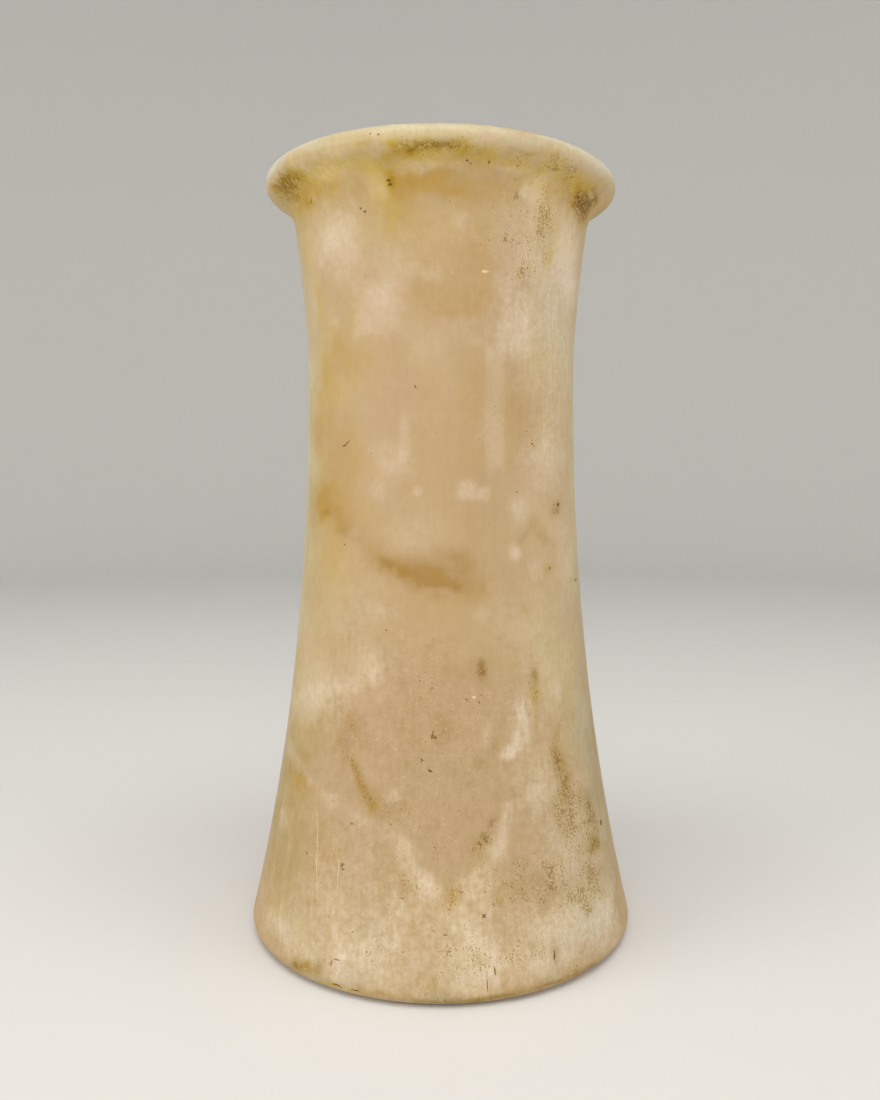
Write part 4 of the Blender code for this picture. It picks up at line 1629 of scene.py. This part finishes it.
    def _noises(self, wiring: Wiring, place: Signal) -> Noises:
        """Make the noises.

        Args:
            wiring: The material's nodes.
            place: Coordinates.

        Returns:
            The noises.
        """
        tall = wiring.node("ShaderNodeMapping", {}, {0: place, 3: (1.0, 1.0, self.fibre_squash)})
        return Noises(
            patches=wiring.noise(place, self.patch_size, 0.0),
            small=wiring.noise(place, self.small_size, 2.0),
            dots=wiring.noise(place, self.dot_size, 1.0),
            fibres=wiring.noise(tall, self.fibre_size, 1.0),
        )

    def _mottle(self, masks: dict[Tone, Signal], noises: Noises) -> Signal:
        """Light and dark unevenness, near nought on average.

        Args:
            masks: Strengths of the tones.
            noises: The noises.

        Returns:
            The share by which the colour is lighter or darker.
        """
        worn = masks[Tone.WEAR]
        streaks = (noises.fibres - 0.5) * weighed(self.fibre_shares, masks[Tone.SAGE], worn)
        grain = (noises.small - 0.5) * self.grain_small + (noises.dots - 0.5) * self.grain_dots
        patches = (noises.patches - 0.5) * weighed(self.patch_shares, worn)
        clouded = (masks[Tone.CLOUD] - 0.5) * self.cloud_shade
        return clouded + grain * weighed(self.grain_shares, worn) + streaks + patches

    def _colour(self, wiring: Wiring, masks: dict[Tone, Signal], noises: Noises) -> Signal:
        """The stone's colour: each tone laid over the last one, its strength broken up by noise.

        Args:
            wiring: The material's nodes.
            masks: Strengths of the tones.
            noises: The noises.

        Returns:
            The colour without pits and strokes.
        """
        cloud, worn = masks[Tone.CLOUD], masks[Tone.WEAR]
        small = noises.small.rise(*self.noise_span)
        dots = noises.dots.rise(*self.noise_span)
        colour = wiring.mix(masks[Tone.BROAD], self.body, self.blush)
        colour = wiring.mix(worn * self.worn_share, colour, self.worn)
        soft = weighed(self.soft, cloud, small)
        rough = weighed(self.rough, cloud, small, dots)
        streaked = soft + (noises.fibres - 0.5) * self.milky_fibres * worn
        # Some of these tones paint light and shade: the shade tone wholly, and the milky, rose, sage and
        # chalk tones in places.
        for tone, tint, texture, blend in (
            (Tone.ROSE, self.rose, soft, Blend.COVER),
            (Tone.HONEY, self.honey, soft, Blend.COVER),
            (Tone.SAGE, self.sage, soft, Blend.COVER),
            (Tone.DUSK, self.dusk, soft, Blend.COVER),
            (Tone.MILK, self.milk, streaked, Blend.COVER),
            (Tone.CHALK, self.chalk, soft, Blend.COVER),
            (Tone.SILT, self.silt, soft, Blend.COVER),
            (Tone.PITS, self.haze, soft, Blend.STAIN),
            (Tone.OCHRE, self.ochre, soft, Blend.STAIN),
            (Tone.TAN, self.tan, weighed(self.tanned, cloud), Blend.STAIN),
            (Tone.OLIVE, self.olive, rough, Blend.STAIN),
            (Tone.UMBER, self.umber, rough, Blend.STAIN),
        ):
            colour = wiring.mix((masks[tone] * texture).clipped(), colour, tint, blend)
        flecks = (self.fleck_level - noises.dots).rise(0.0, self.fleck_edge) * (worn * self.fleck_share)
        colour = wiring.mix(flecks, colour, self.scratch)
        mottle = self._mottle(masks, noises)
        channels = {0: 1.0 + mottle, 1: 1.0 + self.green_tinge * mottle, 2: 1.0 + self.blue_tinge * mottle}
        return wiring.mix(1.0, colour, wiring.node("ShaderNodeCombineColor", {}, channels), Blend.STAIN)

    def material(self) -> bpy.types.Material:
        """Build the stone's material.

        Returns:
            The material.
        """
        stone = bpy.data.materials.new("alabaster")
        stone.use_nodes = True
        shader = stone.node_tree.nodes["Principled BSDF"]
        wiring = Wiring(stone.node_tree)
        place = wiring.node("ShaderNodeTexCoord", {}, {}, "Object")
        masks = {tone: wiring.strength(tone) for tone in Tone}
        noises = self._noises(wiring, place)
        small, dots = noises.small, noises.dots
        clusters = self.pit_small * small + self.pit_patches * noises.patches
        pitting = dots + clusters + self.pit_share * masks[Tone.PITS] - self.pit_level
        pits = pitting.rise(0.0, self.pit_edge)
        curls = self.crust_width * masks[Tone.CRUST] - abs(small - 0.5)
        crust = curls.rise(*self.crust_edges) * masks[Tone.CRUST]
        ragged = (small - 0.5) * self.ragged_small + (dots - 0.5) * self.ragged_dots
        dark = self._strokes(wiring, place, DARK_STROKES, ragged)
        pale = self._strokes(wiring, place, PALE_STROKES, ragged)
        brown = pits * self.pit_strength | crust * self.crust_strength
        colour = wiring.mix(brown, self._colour(wiring, masks, noises), self.pit, Blend.STAIN)
        colour = wiring.mix(pale * self.pale_strength, colour, self.scratch)
        colour = wiring.mix(dark * self.dark_strength, colour, self.grime, Blend.STAIN)
        relief = dots * (self.grain_depth + self.wear_depth * masks[Tone.WEAR])
        raised = {"Strength": 1.0, "Distance": 1.0, "Height": relief}
        bump = wiring.node("ShaderNodeBump", {}, raised, "Normal")
        matt = self.polish + self.worn_matt * masks[Tone.WEAR]
        matt = matt + self.pitted_matt * pits + self.silted_matt * masks[Tone.SILT]
        for name, signal in (("Base Color", colour), ("Roughness", matt.clipped()), ("Normal", bump)):
            stone.node_tree.links.new(signal.socket, shader.inputs[name])
        shader.inputs["Specular IOR Level"].default_value = self.shine
        return stone


@dataclass(frozen=True)
class Softbox:
    """A large soft lamp: where it stands, its width and height, and its power in watts."""

    name: str
    place: Triple
    size: Pair
    power: float
    colour: Triple = (1.0, 0.985, 0.96)

    def hang(self, aim: Triple) -> None:
        """Set the lamp up.

        Args:
            aim: The place that it faces.
        """
        lamp = bpy.data.lights.new(self.name, "AREA")
        lamp.shape = "RECTANGLE"
        lamp.size, lamp.size_y = self.size
        lamp.energy = self.power
        lamp.color = self.colour
        box = bpy.data.objects.new(self.name, lamp)
        box.location = self.place
        box.rotation_euler = (Vector(aim) - Vector(self.place)).to_track_quat("-Z", "Y").to_euler()
        box.visible_camera = False
        bpy.context.scene.collection.objects.link(box)


@dataclass
class Studio:
    """A plain pale round floor that sweeps up into a wall, soft lamps and the camera."""

    floor_radius: float = 1.10
    hub_radius: float = 0.02
    flat_rings: int = 9
    sweep: float = 0.55
    sweep_rings: int = 14
    wall_height: float = 1.60
    floor_level: float = -0.0003
    columns: int = 128
    paper_colour: Colour = (0.74, 0.73, 0.71, 1.0)
    paper_roughness: float = 0.85
    aim: Triple = (0.0, 0.0, 0.11)
    lamps: tuple[Softbox, ...] = (
        Softbox("lamp_left", (-0.85, -0.45, 0.44), (0.60, 0.40), 3.7),
        Softbox("lamp_right", (0.85, -0.45, 0.44), (0.60, 0.40), 2.3),
        Softbox("lamp_top", (0.0, -0.30, 1.10), (0.90, 0.70), 5.6),
        Softbox("lamp_low", (0.0, -1.20, 0.42), (0.70, 0.22), 2.6),
    )
    air_colour: Colour = (1.0, 0.99, 0.97, 1.0)
    air_strength: float = 0.48
    camera_place: Triple = (-0.0002, -0.2851, 0.1328)
    camera_dip: float = 4.3
    camera_near: float = 0.01
    focal_pixels: float = 944.55
    picture_height: float = 1100.0
    sensor: float = 36.0

    def _floor(self) -> bpy.types.Object:
        """A flat disc, a quarter circle up at its edge and an upright wall, turned round the axis.

        Returns:
            The floor's object.
        """
        turn = np.linspace(0.0, math.pi / 2, self.sweep_rings)
        radii = np.concatenate([
            np.linspace(self.hub_radius, self.floor_radius, self.flat_rings + 1)[:-1],
            self.floor_radius + self.sweep * np.sin(turn),
            [self.floor_radius + self.sweep],
        ])
        curve = self.sweep * (1.0 - np.cos(turn))
        heights = np.concatenate([np.zeros(self.flat_rings), curve, [self.wall_height]])
        angle = np.linspace(0.0, 2 * math.pi, self.columns, endpoint=False)
        flat = radii[:, None, None] * np.stack([np.cos(angle), np.sin(angle)], axis=-1)
        upright = np.broadcast_to(heights[:, None, None] + self.floor_level, flat.shape[:2] + (1,))
        places = np.concatenate([flat, upright], axis=-1).reshape(-1, 3)
        middle = np.array([[0.0, 0.0, self.floor_level]])
        quads = ring_quads(len(radii), self.columns)[:, [0, 3, 2, 1]]
        hub = np.arange(self.columns)
        fan = np.stack([hub, (hub + 1) % self.columns, np.full(self.columns, len(places))], axis=-1)
        mesh = bpy.data.meshes.new("floor")
        mesh.from_pydata(np.concatenate([places, middle]).tolist(), [], quads.tolist() + fan.tolist())
        mesh.shade_smooth()
        floor = bpy.data.objects.new("floor", mesh)
        bpy.context.scene.collection.objects.link(floor)
        mesh.materials.append(self._paper())
        return floor

    def _paper(self) -> bpy.types.Material:
        """Matt pale paper for the floor.

        Returns:
            The material.
        """
        paper = bpy.data.materials.new("paper")
        paper.use_nodes = True
        shader = paper.node_tree.nodes["Principled BSDF"]
        shader.inputs["Base Color"].default_value = self.paper_colour
        shader.inputs["Roughness"].default_value = self.paper_roughness
        return paper

    def _air(self) -> None:
        """Even pale light from everywhere."""
        world = bpy.data.worlds.new("air")
        world.use_nodes = True
        sky = world.node_tree.nodes["Background"]
        sky.inputs["Color"].default_value = self.air_colour
        sky.inputs["Strength"].default_value = self.air_strength
        bpy.context.scene.world = world

    def _camera(self) -> None:
        """The photograph's viewpoint: close, a little above mid height, looking slightly down."""
        lens = bpy.data.cameras.new("front")
        lens.sensor_width = self.sensor
        lens.lens = self.sensor * self.focal_pixels / self.picture_height
        lens.clip_start = self.camera_near
        view = bpy.data.objects.new("front", lens)
        view.location = self.camera_place
        view.rotation_euler = (math.radians(90.0 - self.camera_dip), 0.0, 0.0)
        bpy.context.scene.collection.objects.link(view)
        bpy.context.scene.camera = view

    def build(self) -> None:
        """Set up the floor, the lamps, the air and the camera."""
        self._floor()
        for lamp in self.lamps:
            lamp.hang(self.aim)
        self._air()
        self._camera()
        bpy.context.scene.view_settings.view_transform = "Standard"


def main() -> None:
    """Build the vessel and the studio, and report each piece."""
    logging.basicConfig(level=logging.INFO, format="%(name)s: %(message)s")
    stone = Vessel().build()
    mesh = stone.data
    LOG.info("%s has %d vertices and %d faces", stone.name, len(mesh.vertices), len(mesh.polygons))
    Studio().build()
    LOG.info("studio is lit, camera is %s", bpy.context.scene.camera.name)


if __name__ == "__main__":
    main()
